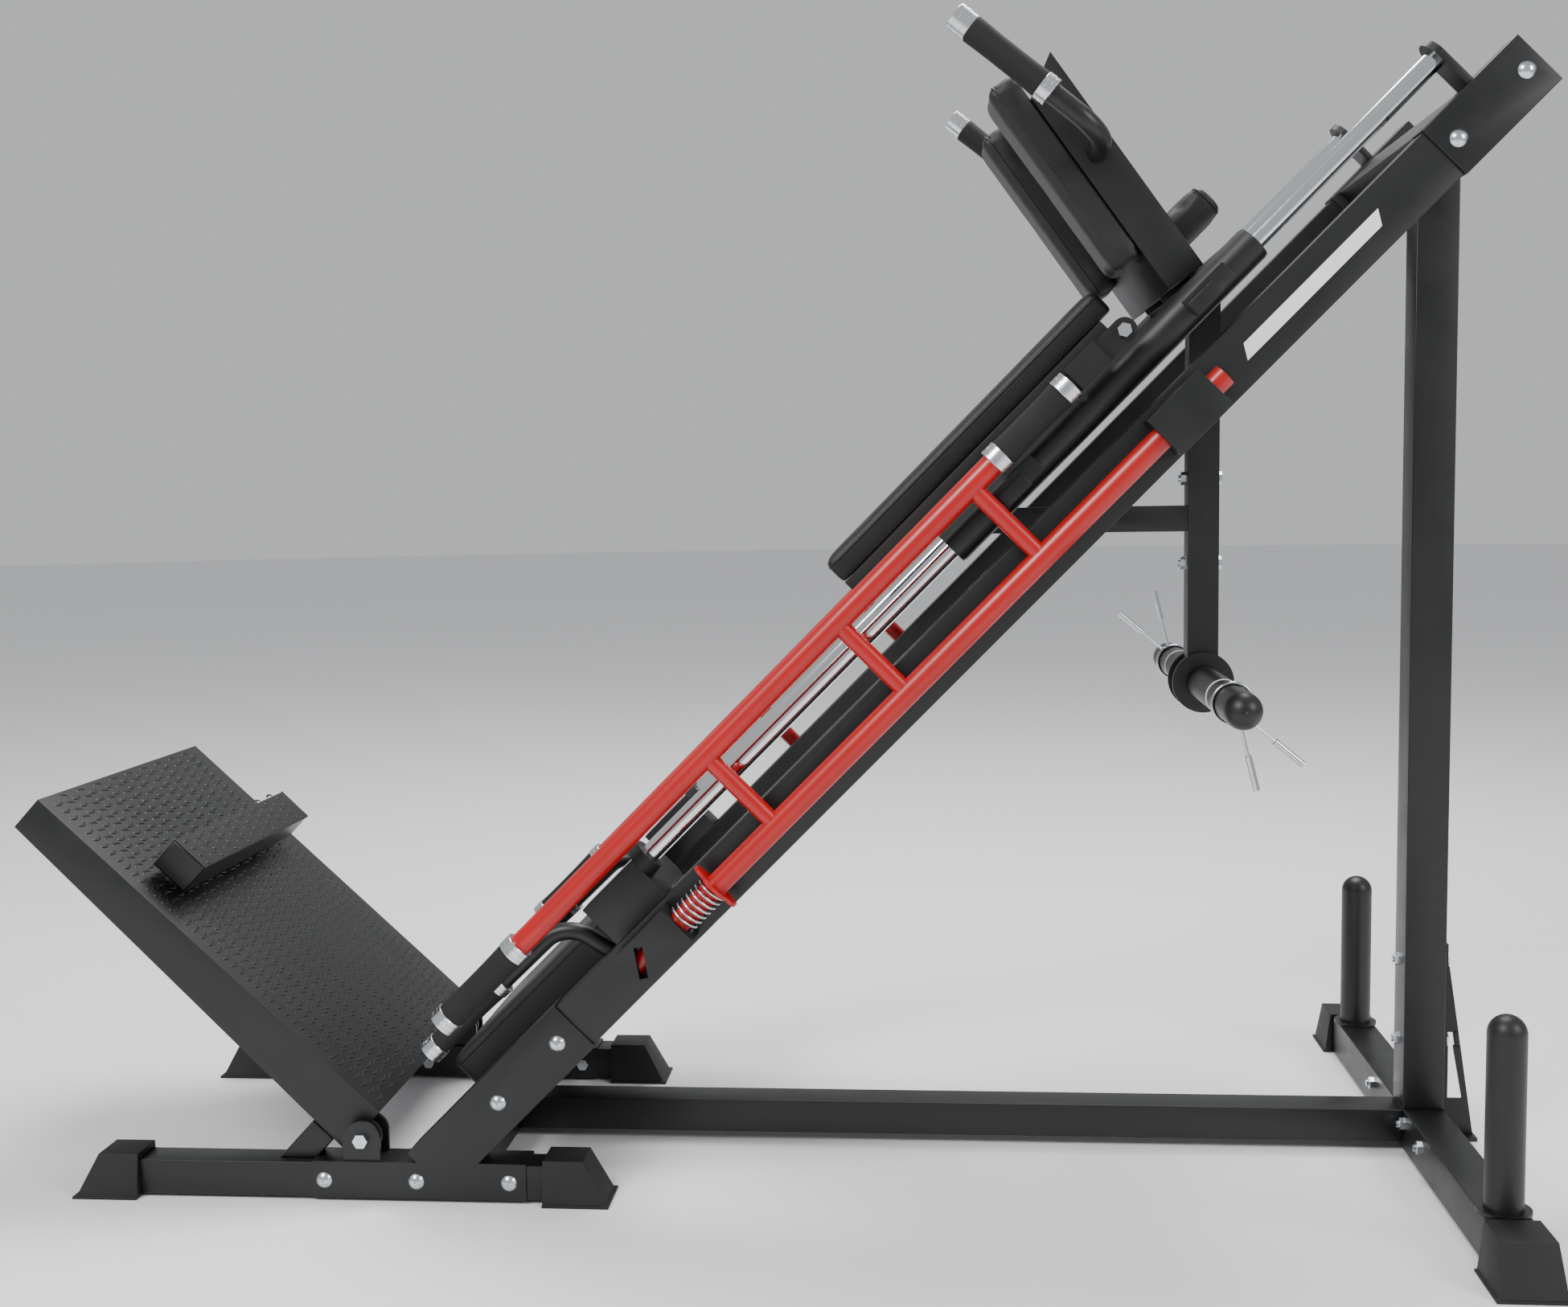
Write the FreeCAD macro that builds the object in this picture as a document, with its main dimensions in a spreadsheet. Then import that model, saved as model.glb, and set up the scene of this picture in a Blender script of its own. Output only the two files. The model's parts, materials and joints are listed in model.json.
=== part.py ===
import FreeCAD, Part
import math
import os
from types import SimpleNamespace

import Sketcher
from FreeCAD import Placement, Rotation, Vector

# A 45 degree leg press and hack squat machine.
#
# World frame: Z up from the floor, Y across the machine, X along it from the
# footplate (low end) to the weight storage (high end).
# Slope frame: x runs up the rails, y across, z square to the rails. Its origin
# is where the rails' centre lines would meet the floor.

doc = FreeCAD.newDocument("leg_press_machine")

# Driving dimensions, in millimetres and degrees.
SIZES = [
    ("slope_angle", 45.0), ("foot_x", -508.0), ("rail_side", 272.0),
    ("rail_deep", 75.0), ("rail_wide", 50.0), ("rail_wall", 2.5),
    ("rail_begin", 125.0), ("rail_finish", 2176.0),
    ("sleeve_deep", 81.0), ("sleeve_wide", 56.0),
    ("low_sleeve_end", 366.0), ("high_sleeve_begin", 2012.0), ("high_sleeve_end", 2178.0),
    ("floor_rail_begin", -432.0), ("floor_rail_end", 258.0), ("floor_tube", 50.0),
    ("ground_gap", 5.0), ("saddle_begin", -126.0), ("saddle_end", 184.0), ("saddle_top", 58.0),
    ("boot_long", 92.0), ("boot_top_long", 58.0), ("boot_wide", 76.0), ("boot_top_wide", 60.0),
    ("boot_high", 64.0), ("boot_lip", 4.0),
    ("cross_begin", 60.0), ("cross_end", 110.0), ("cross_bottom", 8.0),
    ("post_x", 1488.0), ("base_tube", 60.0), ("base_half", 505.0), ("base_wall", 3.0),
    ("long_tube_bottom", 14.0), ("long_tube_high", 50.0), ("long_tube_wide", 60.0),
    ("storage_side", 419.5), ("horn_tube_radius", 25.0), ("storage_top", 324.0),
    ("flange_radius", 35.0), ("flange_thick", 5.0), ("cap_skirt", 9.0),
    ("rod_radius", 14.0), ("rod_height", 93.0), ("rod_foot_begin", 492.0),
    ("rod_foot_end", 592.0), ("rod_foot_top", 106.0), ("rod_end", 2103.0),
    ("bumper_long", 20.0), ("bumper_radius", 25.0), ("bracket_thick", 10.0),
    ("ladder_side", 325.0), ("ladder_radius", 16.0), ("ladder_bore", 12.5),
    ("ladder_begin", 494.0), ("ladder_end", 1616.0), ("ladder_step", 254.0),
    ("first_rung", 776.0), ("rung_radius", 12.5), ("ladder_high", 134.0),
    ("bearing_long", 92.0), ("bearing_deep", 62.0), ("bearing_thick", 56.0),
    ("low_bearing", 494.0), ("high_bearing", 1502.0), ("flange_place", 654.0),
    ("ladder_grip_low", 243.0), ("ladder_grip_high", 1471.0), ("ladder_red_low", 405.0),
    ("ladder_red_high", 1325.0), ("grip_radius", 20.0), ("collar_radius", 21.5),
    ("collar_long", 20.0), ("spring_radius", 20.0), ("spring_wire", 2.0),
    ("sled_begin", 1211.0), ("sled_end", 1768.0), ("sled_tube_radius", 25.0),
    ("sled_tube_bore", 22.0), ("bush_bore", 14.05), ("bush_long", 60.0),
    ("sled_beam", 50.0), ("back_half", 160.0), ("back_begin", 1056.0), ("back_end", 1606.0),
    ("back_bottom", 155.0), ("back_thick", 52.0), ("tray_tilt", 9.5), ("tray_base_x", 1660.0),
    ("tray_base_z", 128.5), ("tray_half", 226.0), ("tray_deep", 56.0), ("tray_high", 352.0),
    ("tray_sheet", 4.0), ("pad_thick", 45.0), ("pad_inner", 113.0), ("pad_outer", 230.0),
    ("pad_low", 52.0), ("pad_high", 368.0), ("handle_side", 331.0), ("handle_radius", 14.0),
    ("handle_grip_radius", 18.5), ("hanger_x", 1160.0), ("hanger_tube", 45.0),
    ("horn_z", 709.5), ("horn_half", 410.0), ("horn_flange", 45.0),
    ("pivot_x", -54.0), ("pivot_z", 88.0), ("plate_tilt", 47.0), ("plate_half", 278.0),
    ("plate_high", 671.0), ("plate_low", 8.0), ("plate_face", 41.0), ("plate_sheet", 3.0),
    ("calf_low", 436.0), ("calf_size", 60.0), ("calf_half", 220.0), ("pin_radius", 6.0),
    ("seat_begin", 145.0), ("seat_end", 520.0), ("seat_bottom", 20.5), ("seat_thick", 65.0),
    ("seat_half", 188.0), ("seat_tube_radius", 12.5), ("seat_handle_side", 257.0),
    ("seat_grip_radius", 16.5), ("bolt_radius", 5.0), ("head_radius", 11.5),
    ("clip_radius", 27.5), ("clip_wire", 2.25), ("clip_place", 300.0),
]

sheet = doc.addObject("Spreadsheet::Sheet", "Sizes")
for row, (alias, number) in enumerate(SIZES, start=1):
    sheet.set("A%d" % row, alias)
    sheet.set("B%d" % row, repr(number))
    sheet.setAlias("B%d" % row, alias)
doc.recompute()


class Dim:
    """A length or an angle: its value, and the formula that binds it to the sheet."""

    def __init__(self, text, number):
        self.text = text
        self.number = number

    def __float__(self):
        return self.number

    def __add__(self, other):
        other = as_dim(other)
        return Dim("(%s + %s)" % (self.text, other.text), self.number + other.number)

    def __radd__(self, other):
        return as_dim(other) + self

    def __sub__(self, other):
        other = as_dim(other)
        return Dim("(%s - %s)" % (self.text, other.text), self.number - other.number)

    def __rsub__(self, other):
        return as_dim(other) - self

    def __mul__(self, factor):
        factor = as_dim(factor)
        return Dim("(%s * %s)" % (self.text, factor.text), self.number * factor.number)

    def __rmul__(self, factor):
        return self * factor

    def __truediv__(self, divisor):
        divisor = as_dim(divisor)
        return Dim("(%s / %s)" % (self.text, divisor.text), self.number / divisor.number)

    def __neg__(self):
        return Dim("(0 - %s)" % self.text, -self.number)


def as_dim(value):
    """Takes a Dim or a plain number."""
    if isinstance(value, Dim):
        return value
    return Dim("%.6f" % value, float(value))


size = SimpleNamespace(**{alias: Dim("Sizes.%s" % alias, number) for alias, number in SIZES})

TO_X = Rotation(Vector(0, 1, 0), 90)
TO_Y = Rotation(Vector(1, 0, 0), -90)
UPRIGHT = Rotation()
AXES = {"x": TO_X, "y": TO_Y, "z": UPRIGHT}


def place(frame, x, y, z, turn=UPRIGHT):
    """A placement in one of the frames below."""
    return frame * Placement(Vector(float(x), float(y), float(z)), turn)


WORLD = place(Placement(), size.foot_x, 0, 0)
SLOPE = place(WORLD, 0, 0, 0, Rotation(Vector(0, 1, 0), -float(size.slope_angle)))
TRAY = place(SLOPE, size.tray_base_x, 0, size.tray_base_z,
             Rotation(Vector(0, 1, 0), float(size.tray_tilt)))
PLATE = place(WORLD, size.pivot_x, 0, size.pivot_z,
              Rotation(Vector(0, 1, 0), -float(size.plate_tilt)))

nodes = {}


def bind(item, **values):
    """Sets an object's properties and ties each to the sheet by its formula."""
    for name, value in values.items():
        value = as_dim(value)
        setattr(item, name, value.number)
        item.setExpression(name, value.text)


def keep(label, item):
    """Names a finished sub-part; its label is its file name."""
    item.Label = label
    nodes[label] = item
    return item


def box(frame, x0, x1, y0, y1, z0, z1):
    item = doc.addObject("Part::Box", "Box")
    bind(item, Length=x1 - as_dim(x0), Width=y1 - as_dim(y0), Height=z1 - as_dim(z0))
    item.Placement = place(frame, x0, y0, z0)
    return item


def cylinder(frame, axis, start, end, centre, radius):
    """A cylinder along one axis of a frame; centre gives its other two coordinates."""
    item = doc.addObject("Part::Cylinder", "Cylinder")
    bind(item, Radius=radius, Height=end - as_dim(start))
    first, second = centre
    spot = {"x": (start, first, second), "y": (first, start, second), "z": (first, second, start)}
    item.Placement = place(frame, *spot[axis], AXES[axis])
    return item


def fuse(*items):
    item = doc.addObject("Part::MultiFuse", "Fusion")
    item.Shapes = list(items)
    item.Refine = True
    return item


def group(*items):
    item = doc.addObject("Part::Compound", "Group")
    item.Links = list(items)
    return item


def cut(base, *tools):
    item = doc.addObject("Part::Cut", "Cut")
    item.Base = base
    item.Tool = tools[0] if len(tools) == 1 else fuse(*tools)
    return item


def pipe(frame, axis, start, end, centre, radius, bore):
    return cut(cylinder(frame, axis, start, end, centre, radius),
               cylinder(frame, axis, start - as_dim(1), end + as_dim(1), centre, bore))


def rectangle(sketch, wide, deep):
    """A rectangle about the sketch's origin, held by four bound distances."""
    half_w, half_d = wide / 2, deep / 2
    corners = [(-half_w, -half_d), (half_w, -half_d), (half_w, half_d), (-half_w, half_d)]
    first = sketch.GeometryCount
    for index in range(4):
        begin, end = corners[index], corners[(index + 1) % 4]
        sketch.addGeometry(Part.LineSegment(Vector(float(begin[0]), float(begin[1]), 0),
                                            Vector(float(end[0]), float(end[1]), 0)), False)
    for index in range(4):
        after = first + (index + 1) % 4
        sketch.addConstraint(Sketcher.Constraint("Coincident", first + index, 2, after, 1))
        kind = "Horizontal" if index % 2 == 0 else "Vertical"
        sketch.addConstraint(Sketcher.Constraint(kind, first + index))
    sketch.addConstraint(Sketcher.Constraint("Symmetric", first, 1, first + 2, 1, -1, 1))
    for kind, line, value in (("DistanceX", first, wide), ("DistanceY", first + 1, deep)):
        index = sketch.addConstraint(
            Sketcher.Constraint(kind, line, 1, line, 2, value.number))
        sketch.setExpression("Constraints[%d]" % index, value.text)


def square_tube(frame, axis, start, end, centre, wide, deep, wall):
    """A rectangular steel tube, made as a body: one sketch of two rectangles, padded.

    wide is across (Y, or X for a tube that runs along Y) and deep is the other way.
    """
    start, end, wide, deep = as_dim(start), as_dim(end), as_dim(wide), as_dim(deep)
    body = doc.addObject("PartDesign::Body", "Tube")
    sketch = body.newObject("Sketcher::SketchObject", "TubeSection")
    origin_plane = next(f for f in body.Origin.OriginFeatures if f.Role == "YZ_Plane")
    sketch.AttachmentSupport = [(origin_plane, "")]
    sketch.MapMode = "FlatFace"
    rectangle(sketch, wide, deep)
    rectangle(sketch, wide - 2 * as_dim(wall), deep - 2 * as_dim(wall))
    pad = body.newObject("PartDesign::Pad", "TubeLength")
    pad.Profile = sketch
    bind(pad, Length=end - start)
    first, second = centre
    turn = {"x": UPRIGHT, "y": Rotation(Vector(0, 0, 1), 90), "z": Rotation(Vector(0, 1, 0), -90)}
    spot = {"x": (start, first, second), "y": (first, start, second), "z": (first, second, start)}
    body.Placement = place(frame, *spot[axis], turn[axis])
    return body


def bent_tube(frame, begin, corner, end, bend, radius, bore):
    """A round tube along two straight runs and the bend that joins them."""
    begin, corner, end = (Vector(*[float(v) for v in p]) for p in (begin, corner, end))
    way_in, way_out = (corner - begin).normalize(), (end - corner).normalize()
    turn = way_in.getAngle(way_out)
    reach = bend * math.tan(turn / 2)
    bend_in, bend_out = corner - way_in * reach, corner + way_out * reach
    inward = (way_out - way_in).normalize()
    middle = corner + inward * (bend / math.cos(turn / 2) - bend)
    path = doc.addObject("Part::Feature", "TubePath")
    path.Shape = Part.Wire([Part.makeLine(begin, bend_in),
                            Part.Arc(bend_in, middle, bend_out).toShape(),
                            Part.makeLine(bend_out, end)])
    runs = []
    for section_radius in (radius, bore):
        section = doc.addObject("Part::Circle", "TubeCircle")
        bind(section, Radius=section_radius)
        section.Placement = Placement(begin, Rotation(Vector(0, 0, 1), way_in))
        run = doc.addObject("Part::Sweep", "TubeRun")
        run.Sections = [section]
        run.Spine = (path, ["Edge1", "Edge2", "Edge3"])
        run.Solid = True
        runs.append(run)
    tube = cut(*runs)
    tube.Placement = frame
    return tube


def along(frame, begin, end, start, finish, radius, bore=None):
    """A cylinder or sleeve about the line from begin to end, from start to finish along it."""
    begin, end = Vector(*[float(v) for v in begin]), Vector(*[float(v) for v in end])
    way = (end - begin).normalize()
    line = frame * Placement(begin, Rotation(Vector(0, 0, 1), way))
    if bore is None:
        return cylinder(line, "z", start, finish, (0, 0), radius)
    return pipe(line, "z", start, finish, (0, 0), radius, bore)


def dome(frame, axis, spot, radius, low_angle=0.0, flip=False):
    """The part of a ball above a latitude, its pole along the axis."""
    item = doc.addObject("Part::Sphere", "Dome")
    bind(item, Radius=radius, Angle1=low_angle, Angle2=90.0)
    turn = AXES[axis]
    if flip:
        turn = turn * Rotation(Vector(1, 0, 0), 180)
    item.Placement = place(frame, *spot, turn)
    return item


def coil(frame, radius, wire, pitch, turns):
    """A coil of round wire, as half rings that each climb half the pitch and meet end to end."""
    climb = math.degrees(math.atan(float(pitch) / 4 / float(radius)))
    halves = []
    for index in range(2 * turns):
        half = doc.addObject("Part::Torus", "HalfTurn")
        bind(half, Radius1=radius, Radius2=wire, Angle3=180)
        turn = Rotation(Vector(0, 0, 1), 180 * (index % 2)) * Rotation(Vector(0, 1, 0), climb)
        half.Placement = place(frame, 0, 0, pitch * (index / 2 + 0.25), turn)
        halves.append(half)
    return halves


def hexagon(frame, axis, start, end, centre, across):
    item = doc.addObject("Part::Prism", "Hexagon")
    item.Polygon = 6
    bind(item, Circumradius=across / math.sqrt(3), Height=end - as_dim(start))
    first, second = centre
    spot = {"x": (start, first, second), "y": (first, start, second), "z": (first, second, start)}
    item.Placement = place(frame, *spot[axis], AXES[axis])
    return item


# --------------------------------------------------------------------------
# Bolt places: (frame, x, z) for the bolts that cross a side member along Y.
SADDLE_BOLTS = [(WORLD, -109, 30), (WORLD, 25, 30), (WORLD, 159, 30)]
LOW_SLEEVE_BOLTS = [(SLOPE, 207, 0), (SLOPE, 330, 0)]
HIGH_SLEEVE_BOLTS = [(SLOPE, 2155, 0)]
TAPPED_BOLTS = [(SLOPE, 2037, 0)]
HOLE_RADIUS = size.bolt_radius + 0.15


def side_holes(spots, side):
    centre = side * size.rail_side
    return [cylinder(frame, "y", centre - 40, centre + 40, (x, z), HOLE_RADIUS)
            for frame, x, z in spots]


# --------------------------------------------------------------------------
# Base and rails.
def floor_rail(side):
    centre = side * size.rail_side
    tube = square_tube(WORLD, "x", size.floor_rail_begin, size.floor_rail_end,
                       (centre, size.ground_gap + size.floor_tube / 2),
                       size.floor_tube, size.floor_tube, size.rail_wall)
    return cut(tube, *side_holes(SADDLE_BOLTS, side))


def boot(frame, tube, toe):
    """A moulded end boot: an open box that flares to the floor, on the end of a square tube.

    Its frame has x out along the tube, z up, and the origin on the floor under its inner end.
    toe is how far the foot stands past the top.
    """
    skin = doc.addObject("Part::Wedge", "BootSkin")
    half, top_half = size.boot_wide / 2, size.boot_top_wide / 2
    growth = (tube - size.floor_tube) / 2
    bind(skin, Xmin=0, Xmax=size.boot_long, X2min=0, X2max=size.boot_long - toe,
         Ymin=0, Ymax=size.boot_high + growth,
         Zmin=-half - growth, Zmax=half + growth, Z2min=-top_half - growth,
         Z2max=top_half + growth)
    skin.Placement = place(frame, 0, 0, 0, Rotation(Vector(1, 0, 0), 90))
    lip = box(frame, 0, size.boot_long + 3, -half - growth - 3, half + growth + 3,
              0, size.boot_lip)
    fit = tube / 2 + 0.2
    socket = box(frame, -1, size.boot_top_long - 8, -fit, fit,
                 size.ground_gap - 0.2, size.ground_gap + tube + 0.2)
    return cut(fuse(skin, lip), socket)


def facing(x, y, heading):
    """A frame on the floor whose x points along a heading in degrees."""
    return place(WORLD, x, y, 0, Rotation(Vector(0, 0, 1), heading))


def side_bracket(side):
    """The saddle over a floor rail and the sloping sleeve that takes a main rail's foot."""
    centre = side * size.rail_side
    half = size.sleeve_wide / 2
    saddle = box(WORLD, size.saddle_begin, size.saddle_end, centre - half, centre + half,
                 size.ground_gap, size.saddle_top)
    sleeve = box(SLOPE, 60, size.low_sleeve_end, centre - half, centre + half,
                 -size.sleeve_deep / 2, size.sleeve_deep / 2)
    room = size.floor_tube / 2 + 0.2
    over_rail = box(WORLD, size.saddle_begin - 1, size.saddle_end + 1,
                    centre - room, centre + room, 0, size.ground_gap + size.floor_tube + 0.2)
    rail_room, rail_half = size.rail_wide / 2 + 0.2, size.rail_deep / 2 + 0.2
    socket = box(SLOPE, size.rail_begin - 1, size.low_sleeve_end + 1,
                 centre - rail_room, centre + rail_room, -rail_half, rail_half)
    lower_limit = box(WORLD, size.saddle_begin - 50, size.saddle_end + 50,
                      centre - half - 1, centre + half + 1, -150, size.ground_gap)
    foot = cut(sleeve, lower_limit)
    lugs = [lug(side, offset) for offset in (-21.0, 21.0)]
    shell = fuse(saddle, foot, *lugs)
    holes = side_holes(SADDLE_BOLTS + LOW_SLEEVE_BOLTS, side)
    return cut(shell, over_rail, socket, *holes)


def lug(side, offset):
    """One upright ear on a saddle, with the footplate's hinge pin through it."""
    centre = side * size.rail_side + offset
    thick = 3.0
    ear_half = 27.0
    plate = box(WORLD, size.pivot_x - ear_half, size.pivot_x + ear_half, centre - thick,
                centre + thick, size.saddle_top - 1, size.pivot_z)
    crown = cylinder(WORLD, "y", centre - thick, centre + thick,
                     (size.pivot_x, size.pivot_z), ear_half)
    hole = cylinder(WORLD, "y", centre - thick - 1, centre + thick + 1,
                    (size.pivot_x, size.pivot_z), size.pin_radius + 0.02)
    return cut(fuse(plate, crown), hole)


def main_rail(side):
    tube = square_tube(SLOPE, "x", size.rail_begin, size.rail_finish, (side * size.rail_side, 0),
                       size.rail_wide, size.rail_deep, size.rail_wall)
    return cut(tube, *side_holes(LOW_SLEEVE_BOLTS + HIGH_SLEEVE_BOLTS + TAPPED_BOLTS, side))


def crosshead():
    """The upper cross beam with a sleeve for each rail, and the seat for the post's top."""
    sleeves, sockets, holes = [], [], []
    beam_half = 40.0
    beam_centre = 2066.0
    for side in (-1, 1):
        centre = side * size.rail_side
        half, room = size.sleeve_wide / 2, size.rail_wide / 2 + 0.2
        sleeves.append(box(SLOPE, size.high_sleeve_begin, size.high_sleeve_end, centre - half,
                           centre + half, -size.sleeve_deep / 2, size.sleeve_deep / 2))
        sockets.append(box(SLOPE, size.high_sleeve_begin - 1, size.rail_finish + 0.2,
                           centre - room, centre + room, -size.rail_deep / 2 - 0.2,
                           size.rail_deep / 2 + 0.2))
        holes += side_holes(HIGH_SLEEVE_BOLTS + TAPPED_BOLTS, side)
    reach = size.rail_side - size.sleeve_wide / 2
    beam = square_tube(SLOPE, "y", -reach, reach, (beam_centre, 0), 2 * beam_half,
                       size.rail_deep, size.base_wall)
    return cut(fuse(beam, *sleeves), *sockets, *holes)


def long_base_tube():
    """The long tube on the floor, from the front cross tube to the rear base tube."""
    return square_tube(WORLD, "x", size.cross_end, size.post_x - size.base_tube / 2,
                       (0, size.long_tube_bottom + size.long_tube_high / 2),
                       size.long_tube_wide, size.long_tube_high, size.base_wall)


GUSSET_BOLTS = (165.0, 287.0)
BASE_CENTRE = size.ground_gap + size.base_tube / 2
BASE_TOP = size.ground_gap + size.base_tube


def upright_post():
    """The post, its top cut to the slope so that it lies under the crosshead."""
    tube = square_tube(WORLD, "z", BASE_TOP, 1500, (size.post_x, 0), size.base_tube,
                       size.base_tube, size.base_wall)
    above = box(SLOPE, 1800, 2400, -60, 60, -size.rail_deep / 2, 200)
    holes = [cylinder(WORLD, "x", size.post_x - 40, size.post_x + 40, (0, z), HOLE_RADIUS)
             for z in GUSSET_BOLTS]
    return cut(tube, above, *holes)


def post_gusset():
    """The thin brace behind the post: a strap down its back that opens to a foot."""
    back = size.post_x + size.base_tube / 2
    strap = box(WORLD, back, back + 5, -22, 22, 130, 315)
    foot = box(WORLD, back, back + 52, -22, 22, BASE_TOP - 52, BASE_TOP - 46)
    web = doc.addObject("Part::Wedge", "GussetWeb")
    thick, rise, run = 3.0, 305.0, 50.0
    bind(web, Xmin=0, Xmax=run, X2min=0, X2max=6, Ymin=0, Ymax=rise - 5, Zmin=-thick,
         Zmax=thick, Z2min=-thick, Z2max=thick)
    web.Placement = place(WORLD, back + 0.2, 0, BASE_TOP - 48, Rotation(Vector(1, 0, 0), 90))
    window = doc.addObject("Part::Wedge", "GussetWindow")
    bind(window, Xmin=0, Xmax=22, X2min=0, X2max=6, Ymin=0, Ymax=90, Zmin=-10, Zmax=10,
         Z2min=-10, Z2max=10)
    window.Placement = place(WORLD, back + 12, 0, BASE_TOP + 8, Rotation(Vector(1, 0, 0), 90))
    holes = [cylinder(WORLD, "x", back - 5, back + 20, (0, z), HOLE_RADIUS)
             for z in GUSSET_BOLTS]
    room = [cylinder(WORLD, "x", back + 5, back + 40, (0, z), 11) for z in GUSSET_BOLTS]
    return cut(fuse(strap, foot, web), window, *holes, *room)


# --------------------------------------------------------------------------
# Guide rods, their feet and the brackets that hold their top ends.
def guide_rod(side):
    return cylinder(SLOPE, "x", size.rod_foot_begin + 30, size.rod_end - size.bracket_thick / 2,
                    (side * size.rail_side, size.rod_height), size.rod_radius)


def rod_foot(side):
    centre = side * size.rail_side
    half = size.rail_wide / 2
    block = box(SLOPE, size.rod_foot_begin, size.rod_foot_end, centre - half, centre + half,
                size.rail_deep / 2, size.rod_foot_top)
    seat = cylinder(SLOPE, "x", size.rod_foot_begin + 30, size.rod_foot_end + 1,
                    (centre, size.rod_height), size.rod_radius + 0.05)
    return cut(block, seat)


def rod_bumper(side):
    return pipe(SLOPE, "x", size.rod_foot_end, size.rod_foot_end + size.bumper_long,
                (side * size.rail_side, size.rod_height), size.bumper_radius,
                size.rod_radius + 0.05)


def rod_top_bracket(side):
    """A flat bar across the slope with a round end, drilled for the rod."""
    centre = side * size.rail_side
    half = size.rail_wide / 2
    begin = size.rod_end - size.bracket_thick
    bar = box(SLOPE, begin, size.rod_end, centre - half, centre + half, size.sleeve_deep / 2,
              size.rod_height)
    crown = cylinder(SLOPE, "x", begin, size.rod_end, (centre, size.rod_height), half)
    seat = cylinder(SLOPE, "x", begin - 1, size.rod_end - size.bracket_thick / 2,
                    (centre, size.rod_height), size.rod_radius + 0.05)
    return cut(fuse(bar, crown), seat)


# --------------------------------------------------------------------------
# Weight storage: upright horns on the rear base tube.
CAP_JOINT = size.storage_top - size.horn_tube_radius - size.cap_skirt


def storage_post(side):
    centre = (size.post_x, side * size.storage_side)
    tube = pipe(WORLD, "z", BASE_TOP, CAP_JOINT, centre, size.horn_tube_radius, 22)
    flange = pipe(WORLD, "z", BASE_TOP, BASE_TOP + size.flange_thick, centre,
                  size.flange_radius, 22)
    return fuse(tube, flange)


def storage_cap(side):
    centre = (size.post_x, side * size.storage_side)
    skirt = cylinder(WORLD, "z", CAP_JOINT, CAP_JOINT + size.cap_skirt, centre,
                     size.horn_tube_radius)
    crown = dome(WORLD, "z", (*centre, CAP_JOINT + size.cap_skirt), size.horn_tube_radius)
    plug = cylinder(WORLD, "z", CAP_JOINT - 20, CAP_JOINT, centre, 21.8)
    return fuse(skirt, crown, plug)


# --------------------------------------------------------------------------
# Safety ladders: they turn about their outer tube in two bearing blocks on each rail.
def ladder_bearing(side, begin, slotted):
    face = side * (size.rail_side + size.rail_wide / 2)
    outer = face + side * size.bearing_thick
    low, high = (face, outer) if side > 0 else (outer, face)
    block = box(SLOPE, begin, begin + size.bearing_long, low, high,
                -size.bearing_deep / 2, size.bearing_deep / 2)
    bore = cylinder(SLOPE, "x", begin - 1, begin + size.bearing_long + 1,
                    (side * size.ladder_side, 0), size.ladder_radius + 0.05)
    if not slotted:
        return cut(block, bore)
    slot_frame = place(SLOPE, begin + 20, side * size.ladder_side, 0,
                       Rotation(Vector(0, 1, 0), 35))
    near, far = (8, 40) if side > 0 else (-40, -8)
    slot = box(slot_frame, -6, 6, near, far, -22, 22)
    return cut(block, bore, slot)


def ladder_bearings(side):
    return [ladder_bearing(side, size.low_bearing, True),
            ladder_bearing(side, size.high_bearing, False)]


def ladder(side):
    """The red frame: an outer hinge tube, an inner tube, three rungs and the spring's flange."""
    centre = side * size.ladder_side
    hinge = cylinder(SLOPE, "x", size.ladder_begin, size.ladder_end, (centre, 0),
                     size.ladder_radius)
    inner = cylinder(SLOPE, "x", size.ladder_grip_low + 8, size.ladder_grip_high - 8,
                     (centre, size.ladder_high), size.ladder_radius)
    rungs = [cylinder(SLOPE, "z", 0, size.ladder_high,
                      (size.first_rung + step * size.ladder_step, centre), size.rung_radius)
             for step in range(3)]
    flange_end = size.flange_place + size.flange_thick
    flange = cylinder(SLOPE, "x", size.flange_place, flange_end, (centre, 0), 27)
    ears = [cylinder(SLOPE, "x", size.flange_place, flange_end, (centre, z), 14)
            for z in (-24.0, 24.0)]
    hollows = [cylinder(SLOPE, "x", size.ladder_begin - 1, size.ladder_end + 1, (centre, 0),
                        size.ladder_bore),
               cylinder(SLOPE, "x", size.ladder_grip_low, size.ladder_grip_high,
                        (centre, size.ladder_high), size.ladder_bore)]
    return cut(fuse(hinge, inner, flange, *ears, *rungs), *hollows)


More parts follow.
